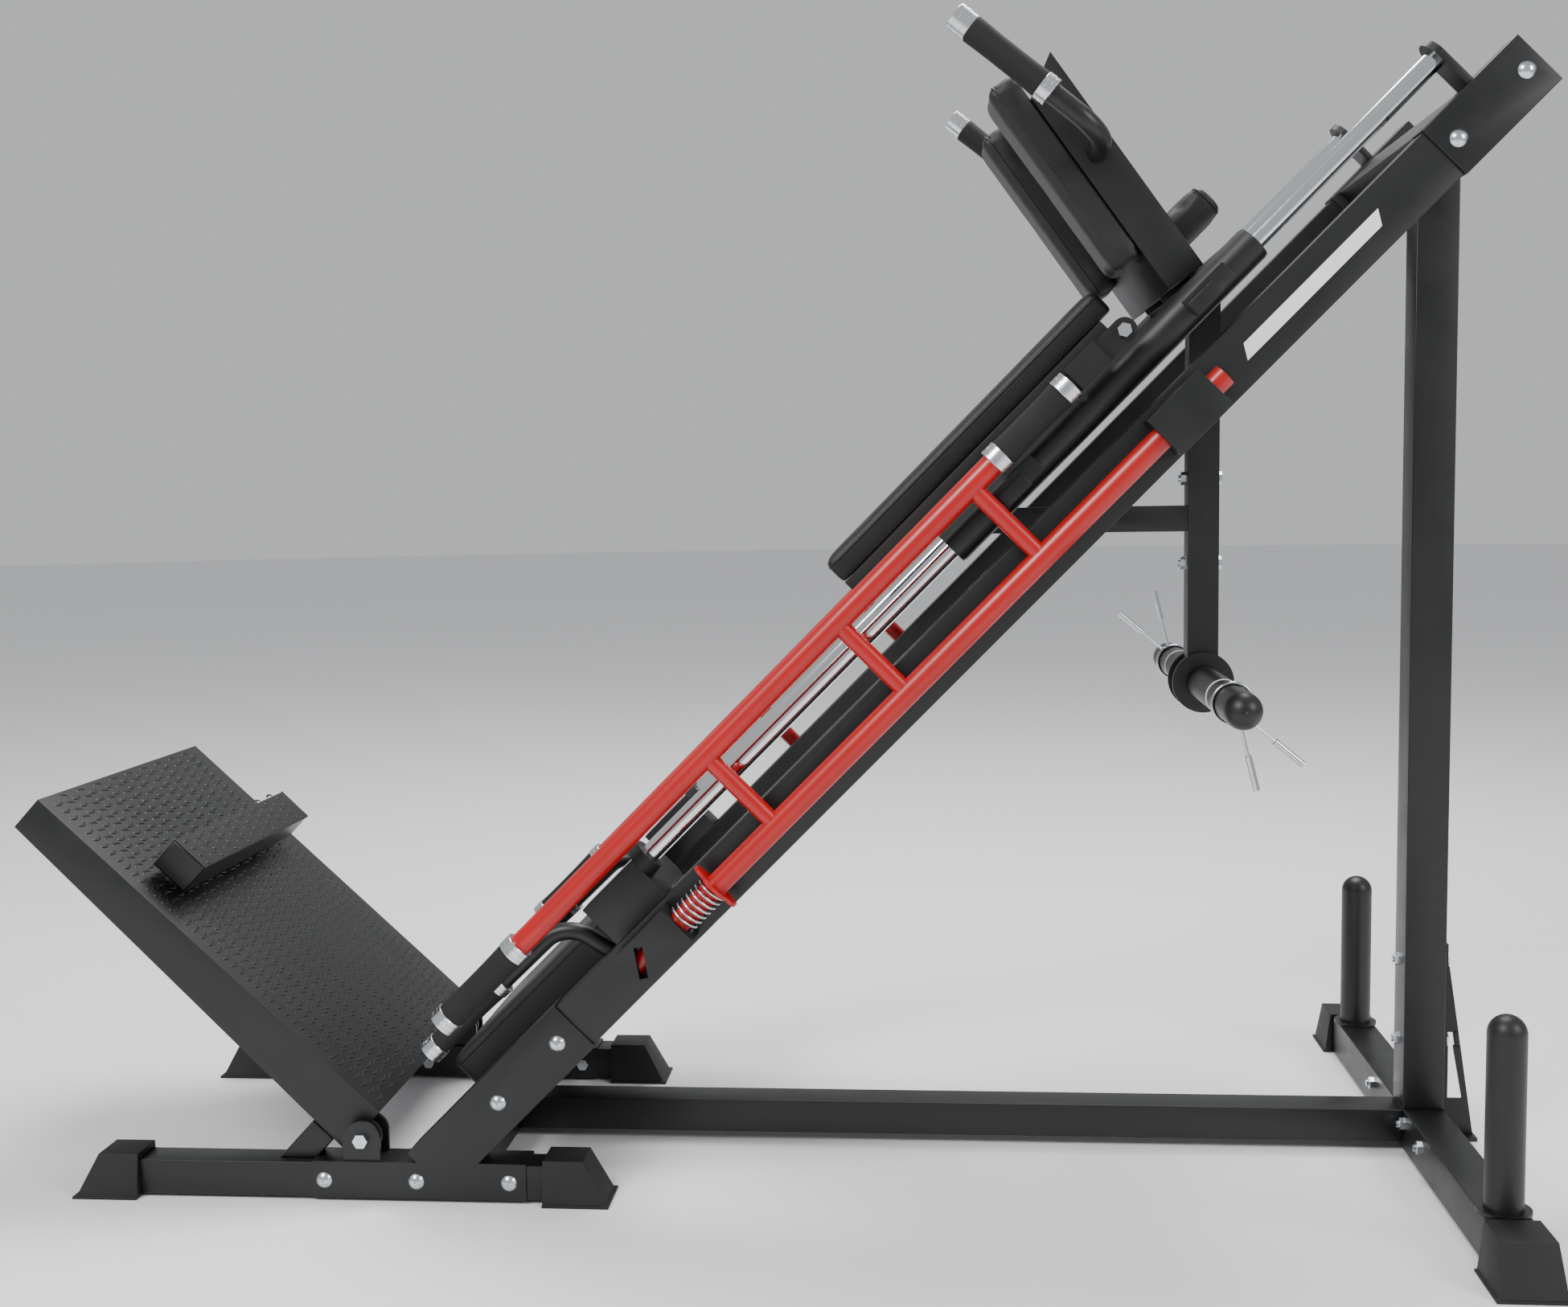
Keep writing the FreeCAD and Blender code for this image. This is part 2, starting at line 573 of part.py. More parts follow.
def ladder_grips(side):
    """Both rubber grips of a ladder and the stop block beyond the upper one."""
    centre = (side * size.ladder_side, size.ladder_high)
    bore = size.ladder_radius + 0.05
    low = pipe(SLOPE, "x", size.ladder_grip_low + size.collar_long,
               size.ladder_red_low - size.collar_long, centre, size.grip_radius, bore)
    high = pipe(SLOPE, "x", size.ladder_red_high + size.collar_long,
                size.ladder_grip_high - size.collar_long, centre, size.grip_radius, bore)
    y0, y1 = centre[0] - 17, centre[0] + 17
    block_begin = size.ladder_grip_high + 4
    block = box(SLOPE, block_begin, block_begin + 52, y0, y1, size.ladder_high - 17,
                size.ladder_high + 20)
    tab = box(SLOPE, block_begin + 40, block_begin + 92, centre[0] - 4, centre[0] + 4,
              size.ladder_high - 17, size.ladder_high + 17)
    tab_end = cylinder(SLOPE, "y", centre[0] - 4, centre[0] + 4,
                       (block_begin + 92, size.ladder_high), 17)
    hole = cylinder(SLOPE, "y", centre[0] - 5, centre[0] + 5,
                    (block_begin + 92, size.ladder_high), 5.1)
    neck = cylinder(SLOPE, "x", size.ladder_grip_high, block_begin + 4, centre, 12)
    return group(low, high, cut(fuse(block, tab, tab_end, neck), hole))


def ladder_collars(side):
    """The four clamp rings that hold the grips, and the bolt in the stop block."""
    centre = (side * size.ladder_side, size.ladder_high)
    rings = []
    bore = size.ladder_radius + 0.05
    for begin in (size.ladder_red_low - size.collar_long, size.ladder_red_high,
                  size.ladder_grip_high - size.collar_long):
        rings.append(pipe(SLOPE, "x", begin, begin + size.collar_long, centre,
                          size.collar_radius, bore))
    low_end = size.ladder_grip_low
    tip = cut(cylinder(SLOPE, "x", low_end, low_end + size.collar_long, centre,
                       size.collar_radius),
              cylinder(SLOPE, "x", low_end + 7.9, low_end + size.collar_long + 1, centre, bore))
    bolt_x = size.ladder_grip_high + 96
    outside = centre[0] + side * 4.0
    head = hexagon(SLOPE, "y", outside if side > 0 else outside - 6.4,
                   outside + 6.4 if side > 0 else outside, (bolt_x, size.ladder_high), 17)
    inside = centre[0] - side * 4.0
    nut = hexagon(SLOPE, "y", inside - 8 if side > 0 else inside,
                  inside if side > 0 else inside + 8, (bolt_x, size.ladder_high), 17)
    shank = cylinder(SLOPE, "y", centre[0] - 5, centre[0] + 5, (bolt_x, size.ladder_high), 5)
    return group(*rings, tip, fuse(head, shank, nut))


def ladder_spring(side):
    """The return spring round the hinge tube, between the low bearing and the flange."""
    begin = size.low_bearing + size.bearing_long + size.spring_wire + 0.3
    end = size.flange_place - size.spring_wire - 0.5
    turns = 7
    frame = place(SLOPE, begin, side * size.ladder_side, 0, TO_X)
    return fuse(*coil(frame, size.spring_radius, size.spring_wire, (end - begin) / turns, turns))


# --------------------------------------------------------------------------
# Seat at the low end, with a bent handle on each side.
def seat_pad():
    return box(SLOPE, size.seat_begin, size.seat_end, -size.seat_half, size.seat_half,
               size.seat_bottom, size.seat_bottom + size.seat_thick)


def seat_board():
    edge = 10.0
    return box(SLOPE, size.seat_begin + edge, size.seat_end - edge, -size.seat_half + edge,
               size.seat_half - edge, size.seat_bottom - 12.5, size.seat_bottom - 0.3)


def seat_support():
    """Two cross tubes under the seat: one between the sleeves, one between the rails."""
    deep = 40.0
    middle = size.seat_bottom - 12.7 - deep / 2
    low_reach = size.rail_side - size.sleeve_wide / 2
    high_reach = size.rail_side - size.rail_wide / 2
    return group(square_tube(SLOPE, "y", -low_reach, low_reach, (268, middle), deep, deep,
                             size.rail_wall),
                 square_tube(SLOPE, "y", -high_reach, high_reach, (450, middle), deep, deep,
                             size.rail_wall))


SEAT_HANDLE = ((469.7, 29.8), (452.0, 111.0), (178.0, 117.0))


def seat_handle(side):
    """A bent tube, its foot cut flush with the rail's top."""
    y = side * float(size.seat_handle_side)
    points = [(x, y, z) for x, z in SEAT_HANDLE]
    tube = bent_tube(SLOPE, *points, 52.0, size.seat_tube_radius, size.seat_tube_radius - 2.5)
    return cut(tube, box(SLOPE, 430, 510, y - 30, y + 30, 0, size.rail_deep / 2))


def on_seat_handle(side, start, finish, radius, bore):
    """A ring on the straight run of a seat handle, measured back from its free end."""
    y = side * float(size.seat_handle_side)
    points = [(x, y, z) for x, z in SEAT_HANDLE]
    return along(SLOPE, points[2], points[1], start, finish, radius, bore)


def seat_grip(side):
    return on_seat_handle(side, 16.0, 132.0, size.seat_grip_radius, size.seat_tube_radius + 0.05)


def seat_grip_collars(side):
    bore = size.seat_tube_radius + 0.05
    inner = on_seat_handle(side, 132.0, 148.0, size.seat_grip_radius + 1.5, bore)
    tip = cut(on_seat_handle(side, -6.0, 16.0, size.seat_grip_radius + 1.5, None),
              on_seat_handle(side, -0.1, 17.0, bore, None))
    return [inner, tip]


# --------------------------------------------------------------------------
# The sled: two bearing tubes on the rods, and the frame, pads and weight horn they carry.
BEAM_BOTTOM = size.rod_height - size.sled_beam / 2
BEAM_TOP = size.rod_height + size.sled_beam / 2
SLED_BEAMS = (1275.0, 1530.0, 1715.0)


def sled_tube(side):
    return pipe(SLOPE, "x", size.sled_begin, size.sled_end, (side * size.rail_side,
                size.rod_height), size.sled_tube_radius, size.sled_tube_bore)


def sled_bush(side, low):
    centre = (side * size.rail_side, size.rod_height)
    bore = size.bush_bore
    lip = 4.0
    if low:
        begin, end = size.sled_begin, size.sled_begin + size.bush_long
        ring = (begin - lip, begin)
    else:
        begin, end = size.sled_end - size.bush_long, size.sled_end
        ring = (end, end + lip)
    sleeve = cylinder(SLOPE, "x", begin, end, centre, size.sled_tube_bore - 0.05)
    collar = cylinder(SLOPE, "x", *ring, centre, size.sled_tube_radius - 1)
    hole = cylinder(SLOPE, "x", begin - lip - 1, end + lip + 1, centre, bore)
    return cut(fuse(sleeve, collar), hole)


def sled_frame():
    """Three cross beams between the bearing tubes, two runners and the tray's ribs."""
    reach = size.rail_side
    beams = [square_tube(SLOPE, "y", -reach, reach, (x, size.rod_height), size.sled_beam,
                         size.sled_beam, size.base_wall) for x in SLED_BEAMS]
    runner_high = 30.0
    runners = [square_tube(SLOPE, "x", size.back_begin + 20, SLED_BEAMS[1] + 25,
                           (y, BEAM_TOP + runner_high / 2), 30, runner_high, size.rail_wall)
               for y in (-70.0, 70.0)]
    ribs = [box(TRAY, size.tray_sheet, size.tray_deep - 3, y - 3, y + 3, -8, 240)
            for y in (-95.0, 95.0)]
    rest = box(SLOPE, 1733, 1739, -40, 40, BEAM_TOP - 5, 200)
    room = [cylinder(SLOPE, "x", size.sled_begin - 1, size.sled_end + 1,
                     (side * size.rail_side, size.rod_height), size.sled_tube_radius + 0.02)
            for side in (-1, 1)]
    far_ends = [box(SLOPE, 1200, 1800, side * 360 - 88, side * 360 + 88, 0, 200)
                for side in (-1, 1)]
    return cut(fuse(*beams, *runners, *ribs, rest), *room, *far_ends)


def back_pad():
    return box(SLOPE, size.back_begin, size.back_end, -size.back_half, size.back_half,
               size.back_bottom + 10.3, size.back_bottom + size.back_thick)


def back_board():
    return box(SLOPE, size.back_begin + 8, size.back_end - 30, -size.back_half + 8,
               size.back_half - 8, BEAM_TOP + 30, size.back_bottom + 10)


def shoulder_tray():
    """The folded steel tray behind the shoulder pads: a face, two sides and a foot."""
    half, sheet = size.tray_half, size.tray_sheet
    solid = box(TRAY, 0, size.tray_deep, -half, half, 0, size.tray_high)
    hollow = box(TRAY, sheet, size.tray_deep + 1, -half + sheet, half - sheet, sheet,
                 size.tray_high - 36)
    slope_frame = place(TRAY, 0, 0, size.tray_high - 34, Rotation(Vector(0, 1, 0), -31.3))
    top = box(slope_frame, -60, 160, -half - 1, half + 1, 0, 90)
    hollow_top = box(slope_frame, sheet, 160, -half + sheet, half - sheet, -sheet - 70, -sheet)
    hollow_top_in = cut(hollow_top, box(TRAY, -60, sheet, -half, half, 0, size.tray_high))
    slots = [box(TRAY, sheet - 1, size.tray_deep, y - 3.2, y + 3.2, -1, sheet + 1)
             for y in (-95.0, 95.0)]
    return cut(solid, hollow, top, hollow_top_in, *slots)


def shoulder_pad(side):
    inner, outer = side * size.pad_inner, side * size.pad_outer
    low, high = (inner, outer) if side > 0 else (outer, inner)
    return box(TRAY, -size.pad_thick - 0.3, -0.3, low, high, size.pad_low, size.pad_high)


def head_pad():
    return box(SLOPE, 1739.3, 1822, -75, 75, 150, 206)


PUSH_HANDLE = ((1722.0, 0.0, 327.0), (1725.0, 0.0, 329.0), (1701.0, 0.0, 570.0))


def push_handle_points(side):
    (x0, _, z0), (x1, _, z1), (x2, _, z2) = PUSH_HANDLE
    inner, outer = side * (float(size.tray_half) - 4.0), side * float(size.handle_side)
    return (x0, inner, z0), (x1, outer, z1), (x2, outer, z2)


def push_handle(side):
    """A bent tube, its root cut flush with the tray's side."""
    tube = bent_tube(SLOPE, *push_handle_points(side), 48.0, size.handle_radius,
                     size.handle_radius - 2.5)
    return cut(tube, box(SLOPE, 1650, 1800, -size.tray_half, size.tray_half, 280, 380))


def on_push_handle(side, start, finish, radius, bore):
    """A ring on the straight run of a push handle, measured back from its free end."""
    _, corner, end = push_handle_points(side)
    return along(SLOPE, end, corner, start, finish, radius, bore)


def push_grip(side):
    return on_push_handle(side, 22.0, 138.0, size.handle_grip_radius, size.handle_radius + 0.05)


def push_collars(side):
    bore = size.handle_radius + 0.05
    inner = on_push_handle(side, 138.0, 156.0, size.handle_grip_radius + 1.2, bore)
    tip = cut(on_push_handle(side, -6.0, 22.0, size.handle_grip_radius, None),
              on_push_handle(side, -0.1, 23.0, bore, None))
    return [inner, tip]


HOOK_TIPS = (1285.0, 1636.0)


def safety_hook(side, tip):
    """A catch welded on a bearing tube: its low end rests on a ladder's rung."""
    centre = side * size.rail_side
    begin = tip
    y0, y1 = sorted((centre + side * 14.0, centre + side * 31.0), key=float)
    plate = box(SLOPE, begin + 12, begin + 84, y0, y1, size.rod_height - 13,
                size.rod_height + 13)
    face0, face1 = sorted((centre + side * 26.0, centre + side * 38.5), key=float)
    strip = box(SLOPE, begin + 13.5, begin + 58, face0, face1, size.rod_height - 15,
                size.rod_height + 5)
    room = cylinder(SLOPE, "x", begin - 5, begin + 90, (centre, size.rod_height),
                    size.sled_tube_radius + 0.02)
    return cut(fuse(plate, strip), room)


def hanger_room():
    """The space of the sled's beams, which the hanger's ends are cut to fit."""
    half = size.sled_beam / 2 + 0.05
    return [box(SLOPE, x - half, x + half, -60, 60, size.rod_height - half, size.rod_height + 80)
            for x in (SLED_BEAMS[0], SLED_BEAMS[2])]


HANGER_BOLTS = (886.0, 1011.0)


def weight_hanger():
    """The upright bar that hangs below the sled, and the brace that steadies it."""
    half = size.hanger_tube / 2
    bar = square_tube(WORLD, "z", size.horn_z - 37, 1290, (size.hanger_x, 0),
                      size.hanger_tube, size.hanger_tube, size.base_wall)
    brace = square_tube(WORLD, "x", 840, size.hanger_x - half, (0, 952), 38, 38,
                        size.base_wall)
    cross = cylinder(WORLD, "y", -60, 60, (size.hanger_x, size.horn_z),
                     size.horn_tube_radius - 4.95)
    holes = [cylinder(WORLD, "x", size.hanger_x - 40, size.hanger_x + 60, (0, z), HOLE_RADIUS)
             for z in HANGER_BOLTS]
    return cut(fuse(bar, brace), cross, *holes, *hanger_room())


def weight_horn():
    """The cross tube through the hanger: a spine, a sleeve and a flange on each side."""
    centre = (size.hanger_x, size.horn_z)
    half = size.hanger_tube / 2 + 0.1
    spine = cylinder(WORLD, "y", -60, 60, centre, size.horn_tube_radius - 5)
    end = size.horn_half - size.horn_tube_radius - size.cap_skirt
    sleeves, flanges = [], []
    for side in (-1, 1):
        start, stop = (half, end) if side > 0 else (-end, -half)
        sleeves.append(cylinder(WORLD, "y", start, stop, centre, size.horn_tube_radius))
        start, stop = (half, half + 8) if side > 0 else (-half - 8, -half)
        flanges.append(cylinder(WORLD, "y", start, stop, centre, size.horn_flange))
    hollow = [cylinder(WORLD, "y", 61 if side > 0 else -end - 1, end + 1 if side > 0 else -61,
                       centre, 21.85) for side in (-1, 1)]
    return cut(fuse(spine, *sleeves, *flanges), *hollow)


def horn_cap(side):
    centre = (size.hanger_x, size.horn_z)
    end = size.horn_half - size.horn_tube_radius - size.cap_skirt
    joint = size.horn_half - size.horn_tube_radius
    start, stop = (end, joint) if side > 0 else (-joint, -end)
    skirt = cylinder(WORLD, "y", start, stop, centre, size.horn_tube_radius)
    crown = dome(WORLD, "y", (centre[0], side * joint, centre[1]), size.horn_tube_radius,
                 flip=side < 0)
    start, stop = (end - 20, end) if side > 0 else (-end, -end + 20)
    plug = cylinder(WORLD, "y", start, stop, centre, 21.6)
    return fuse(skirt, crown, plug)


def spring_clip(side):
    """A wire clip round the horn: a coil whose ends bend out into two legs with small grips."""
    pitch = 2 * size.clip_wire + 0.8
    turns = 2
    heading = -58.0 if side < 0 else 122.0
    frame = place(WORLD, size.hanger_x, side * size.clip_place, size.horn_z,
                  Rotation(Vector(0, 1, 0), -heading) * TO_Y)
    wire = coil(place(frame, 0, 0, -pitch), size.clip_radius, size.clip_wire, pitch, turns)
    bend, lean = 7.0, 18.0
    for way in (-1, 1):
        elbow = doc.addObject("Part::Torus", "Elbow")
        bind(elbow, Radius1=bend, Radius2=size.clip_wire, Angle3=90 - as_dim(lean))
        begin = 180.0 if way < 0 else 90.0 + lean
        elbow.Placement = place(frame, size.clip_radius + bend, 0, way * pitch,
                                Rotation(Vector(0, 0, 1), begin))
        out = math.radians(lean)
        knee = place(frame, size.clip_radius + bend * (1 - math.sin(out)),
                     way * bend * math.cos(out), way * pitch,
                     Rotation(Vector(0, 0, 1), way * lean) * TO_X)
        leg = cylinder(knee, "z", 0, 86, (0, 0), size.clip_wire)
        grip = cylinder(knee, "z", 42, 90, (0, 0), 4.6)
        wire += [elbow, leg, grip]
    return fuse(*wire)


# --------------------------------------------------------------------------
# The footplate: a folded steel pan that tilts on two pins above the floor rails.
def footplate():
    half, face = size.plate_half, size.plate_face
    sheet = size.plate_sheet
    back_low, back_high = 36.0, 13.5
    shell = doc.addObject("Part::Wedge", "PanShell")
    bind(shell, Xmin=-back_low, Xmax=face, X2min=-back_high, X2max=face, Ymin=size.plate_low,
         Ymax=size.plate_high, Zmin=-half, Zmax=half, Z2min=-half, Z2max=half)
    shell.Placement = place(PLATE, 0, 0, 0, Rotation(Vector(1, 0, 0), 90))
    hollow = box(PLATE, -60, face - sheet, -half + sheet, half - sheet,
                 size.plate_low + sheet, size.plate_high - sheet)
    notches = []
    for side in (-1, 1):
        y0, y1 = sorted((side * 237.0, side * 257.0))
        notches.append(box(PLATE, -60, 30, y0, y1, size.plate_low - 1,
                           size.plate_low + sheet + 1))
    pan = cut(shell, hollow, *notches)
    ears = []
    for side in (-1, 1):
        wall = side * half
        y0, y1 = (wall - 6, wall) if side > 0 else (wall, wall + 6)
        ears.append(cylinder(PLATE, "y", y0, y1, (0, 0), 24))
        ears.append(box(PLATE, -24, 24, y0, y1, 0, 40))
        barrel = side * size.rail_side
        ears.append(cylinder(PLATE, "y", barrel - 17.6, barrel + 17.6, (0, 0), 12))
    bores = [cylinder(PLATE, "y", side * size.rail_side - 20, side * size.rail_side + 20, (0, 0),
                      size.pin_radius + 0.05) for side in (-1, 1)]
    return cut(fuse(pan, *ears), *bores)


def footplate_frame():
    """Two upright ribs and two cross ribs behind the pan's face."""
    rib = 30.0
    depth = size.plate_face - size.plate_sheet - rib / 2 - 0.1
    reach = size.plate_half - 7
    cross = [square_tube(PLATE, "y", -reach, reach, (depth, z), rib, rib, size.rail_wall)
             for z in (62.0, 640.0)]
    upright = [square_tube(PLATE, "z", 62 + rib / 2, 640 - rib / 2, (depth, y), rib, rib,
                           size.rail_wall) for y in (-150.0, 150.0)]
    return fuse(*cross, *upright)


def calf_block():
    """The square tube across the footplate, on two short stems, with a plate in each end."""
    low, deep = size.calf_low, size.calf_size
    stand = size.plate_face + 19
    thick = 48.0
    middle = (stand + thick / 2, low + deep / 2)
    reach = size.calf_half - 3
    bar = square_tube(PLATE, "y", -reach, reach, middle, thick, deep, 3)
    stems = [cylinder(PLATE, "x", size.plate_face, stand + 1, (y, low + deep / 2), 19)
             for y in (-170.0, 170.0)]
    plates = [box(PLATE, stand, stand + thick, *sorted((side * reach, side * size.calf_half),
                                                       key=float), low, low + deep)
              for side in (-1, 1)]
    return group(fuse(bar, *stems), *plates)


def footplate_prop(side):
    """A short post on a floor rail, square to the footplate's back, that it leans on."""
    centre = side * (size.rail_side - 8)
    leaning = place(PLATE, -36.0, 0, 50)
    bar = box(leaning, -120, 0, centre - 16, centre + 16, -20, 20)
    below = box(WORLD, -400, 200, centre - 40, centre + 40, -200,
                size.ground_gap + size.floor_tube)
    saddle = box(WORLD, size.saddle_begin - 0.3, 200, centre - 40, centre + 40, -200,
                 size.saddle_top + 0.3)
    return cut(bar, below, saddle)


def hinge_pin(side):
    """The bolt that a footplate ear turns on, with its nut."""
    centre = side * size.rail_side
    spot = (size.pivot_x, size.pivot_z)
    reach = 24.0
    shank = cylinder(WORLD, "y", centre - reach, centre + reach, spot, size.pin_radius)
    far = centre + side * reach
    head = hexagon(WORLD, "y", far if side > 0 else far - 7, far + 7 if side > 0 else far,
                   spot, 19)
    near = centre - side * reach
    nut = hexagon(WORLD, "y", near - 9 if side > 0 else near, near if side > 0 else near + 9,
                  spot, 19)
    return fuse(shank, head, nut)


# --------------------------------------------------------------------------
# Fasteners.
HEAD_ANGLE = 34.8


def carriage_bolt(frame, x, z, side):
    """A round-headed bolt through a side member, its head outside."""
    centre = side * size.rail_side
    outer = centre + side * size.sleeve_wide / 2
    inner = centre - side * size.sleeve_wide / 2
    ball = size.head_radius / math.cos(math.radians(HEAD_ANGLE))
    sink = ball * math.sin(math.radians(HEAD_ANGLE))
    head = dome(frame, "y", (x, outer - side * sink, z), ball, HEAD_ANGLE, flip=side < 0)
    y0, y1 = sorted((outer, inner - side * 11.0), key=float)
    shank = cylinder(frame, "y", y0, y1, (x, z), size.bolt_radius)
    return fuse(head, shank)


def carriage_nut(frame, x, z, side):
    inner = side * (size.rail_side - size.sleeve_wide / 2)
    y0, y1 = sorted((inner - side * 0.1, inner - side * 9.0), key=float)
    block = hexagon(frame, "y", y0, y1, (x, z), 17)
    hole = cylinder(frame, "y", y0 - 1, y1 + 1, (x, z), size.bolt_radius + 0.02)
    return cut(block, hole)


def through_bolt(x_head, x_nut, y, z):
    """A hex bolt along X: its head at x_head and its nut's outer face past x_nut."""
    head = hexagon(WORLD, "x", x_head, x_head + 6.4, (y, z), 17)
    shank = cylinder(WORLD, "x", x_nut - 12, x_head, (y, z), size.bolt_radius)
    nut = hexagon(WORLD, "x", x_nut - 8.4, x_nut, (y, z), 17)
    return fuse(head, shank, nut)


NUTTED_BOLTS = SADDLE_BOLTS + LOW_SLEEVE_BOLTS + HIGH_SLEEVE_BOLTS


def on_both_sides(maker, spots):
    return [maker(frame, x, z, side) for side in (-1, 1) for frame, x, z in spots]


def post_bolts():
    half = size.base_tube / 2
    back = size.post_x + half
    return [through_bolt(back + 5, size.post_x - half, 0, z) for z in GUSSET_BOLTS]


def base_bolts():
    """Short studs and nuts on the base tube's face, beside the long tube."""
    face = size.post_x - size.base_tube / 2
    studs = []
    for y in (-142.0, -42.0, 42.0, 148.0):
        nut = hexagon(WORLD, "x", face - 8.5, face - 0.1, (y, 46), 17)
        stud = cylinder(WORLD, "x", face - 13, face - 8.5, (y, 46), size.bolt_radius)
        studs.append(fuse(nut, stud))
    return studs


def hanger_bolts():
    half = size.hanger_tube / 2
    return [through_bolt(size.hanger_x + half, size.hanger_x - half, 0, z)
            for z in HANGER_BOLTS]


# --------------------------------------------------------------------------
# The machine.
def make_frame():
    keep("floor_rails", group(floor_rail(-1), floor_rail(1)))
    toe = size.boot_long - size.boot_top_long
    ends = [(size.floor_rail_begin + 50, 180.0), (size.floor_rail_end - 50, 0.0)]
    keep("floor_rail_boots", group(*[boot(facing(x, side * size.rail_side, heading),
                                          size.floor_tube, toe)
                                     for side in (-1, 1) for x, heading in ends]))
    keep("front_cross_tube", square_tube(
        WORLD, "y", -size.rail_side + size.sleeve_wide / 2, size.rail_side - size.sleeve_wide / 2,
        ((size.cross_begin + size.cross_end) / 2, size.cross_bottom + 25), 50, 50,
        size.rail_wall))
    keep("long_base_tube", long_base_tube())
    keep("rear_base_tube", square_tube(WORLD, "y", -size.base_half, size.base_half,
                                       (size.post_x, BASE_CENTRE), size.base_tube,
                                       size.base_tube, size.base_wall))
    keep("rear_base_boots", group(*[boot(facing(size.post_x, side * (size.base_half - 50), head),
                                         size.base_tube, 22)
                                    for side, head in ((-1, -90.0), (1, 90.0))]))
    keep("upright_post", upright_post())
    keep("post_gusset", post_gusset())
    keep("crosshead", crosshead())
    keep("guide_rods", group(guide_rod(-1), guide_rod(1)))
    keep("rod_feet", group(rod_foot(-1), rod_foot(1)))
    keep("rod_bumpers", group(rod_bumper(-1), rod_bumper(1)))
    keep("rod_top_brackets", group(rod_top_bracket(-1), rod_top_bracket(1)))
    keep("storage_posts", group(storage_post(-1), storage_post(1)))
    keep("storage_post_caps", group(storage_cap(-1), storage_cap(1)))
    for side, name in SIDES:
        keep("side_bracket_" + name, side_bracket(side))
        keep("main_rail_" + name, main_rail(side))
        keep("ladder_spring_" + name, ladder_spring(side))
    keep("ladder_bearings", group(*ladder_bearings(-1), *ladder_bearings(1)))
    keep("seat_handles", group(seat_handle(-1), seat_handle(1)))
    keep("seat_pad", seat_pad())
    keep("seat_board", seat_board())
    keep("seat_support", seat_support())
    keep("seat_handle_grips", group(seat_grip(-1), seat_grip(1)))
    keep("seat_grip_collars", group(*seat_grip_collars(-1), *seat_grip_collars(1)))
    keep("footplate_props", group(footplate_prop(-1), footplate_prop(1)))
    keep("hinge_pins", group(hinge_pin(-1), hinge_pin(1)))
    keep("frame_bolts", group(*on_both_sides(carriage_bolt, NUTTED_BOLTS + TAPPED_BOLTS),
                              *post_bolts(), *base_bolts()))
    keep("frame_nuts", group(*on_both_sides(carriage_nut, NUTTED_BOLTS)))


def make_sled():
    keep("sled_tubes", group(sled_tube(-1), sled_tube(1)))
    keep("sled_bushes", group(*[sled_bush(side, low) for side in (-1, 1)
                                for low in (True, False)]))
    keep("sled_frame", sled_frame())
    keep("back_pad", back_pad())
    keep("back_board", back_board())
    keep("shoulder_tray", shoulder_tray())
    keep("head_pad", head_pad())
    for side, name in SIDES:
        keep("shoulder_pad_" + name, shoulder_pad(side))
        keep("spring_clip_" + name, spring_clip(side))
    keep("push_handles", group(push_handle(-1), push_handle(1)))
    keep("safety_hooks", group(*[safety_hook(side, tip) for side in (-1, 1)
                                 for tip in HOOK_TIPS]))
    keep("push_handle_grips", group(push_grip(-1), push_grip(1)))
    keep("push_grip_collars", group(*push_collars(-1), *push_collars(1)))
    keep("weight_hanger", weight_hanger())
    keep("weight_horn", weight_horn())
    keep("horn_caps", group(horn_cap(-1), horn_cap(1)))
    keep("hanger_bolts", group(*hanger_bolts()))


def make_ladders_and_footplate():
    for side, name in SIDES:
        keep("ladder_" + name, ladder(side))
        keep("ladder_grips_" + name, ladder_grips(side))
        keep("ladder_collars_" + name, ladder_collars(side))
    keep("footplate", footplate())
    keep("footplate_frame", footplate_frame())
    keep("calf_block", calf_block())


SIDES = ((-1, "left"), (1, "right"))


def write_parts():
    """Stops on any failed object or bad shape, then writes one file for each sub-part."""
    doc.recompute()
    failed = [item.Name for item in doc.Objects
              if "Invalid" in item.State or "Error" in item.State]
    if failed:
        raise RuntimeError("failed objects: %s" % ", ".join(failed))
    for label, item in nodes.items():
        if item.Shape.isNull() or not item.Shape.isValid() or not item.Shape.Solids:
            raise RuntimeError("bad shape: " + label)
    os.makedirs("parts", exist_ok=True)
    for label, item in nodes.items():
        item.Shape.exportStep(os.path.join("parts", label + ".step"))


make_frame()
make_sled()
make_ladders_and_footplate()
write_parts()
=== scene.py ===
"""Finishes, padding and small detail for a 45 degree leg press and hack squat machine.

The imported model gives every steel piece. This file dresses it, rounds its folded and rolled
edges, and adds the upholstery, grips, collars and tread that a solid model leaves plain.
"""

from __future__ import annotations

import json
import logging
import math
from collections.abc import Iterable
from dataclasses import dataclass, field
from enum import Enum

import bmesh
import bpy
import numpy as np
from mathutils import Matrix, Vector
from mathutils.bvhtree import BVHTree

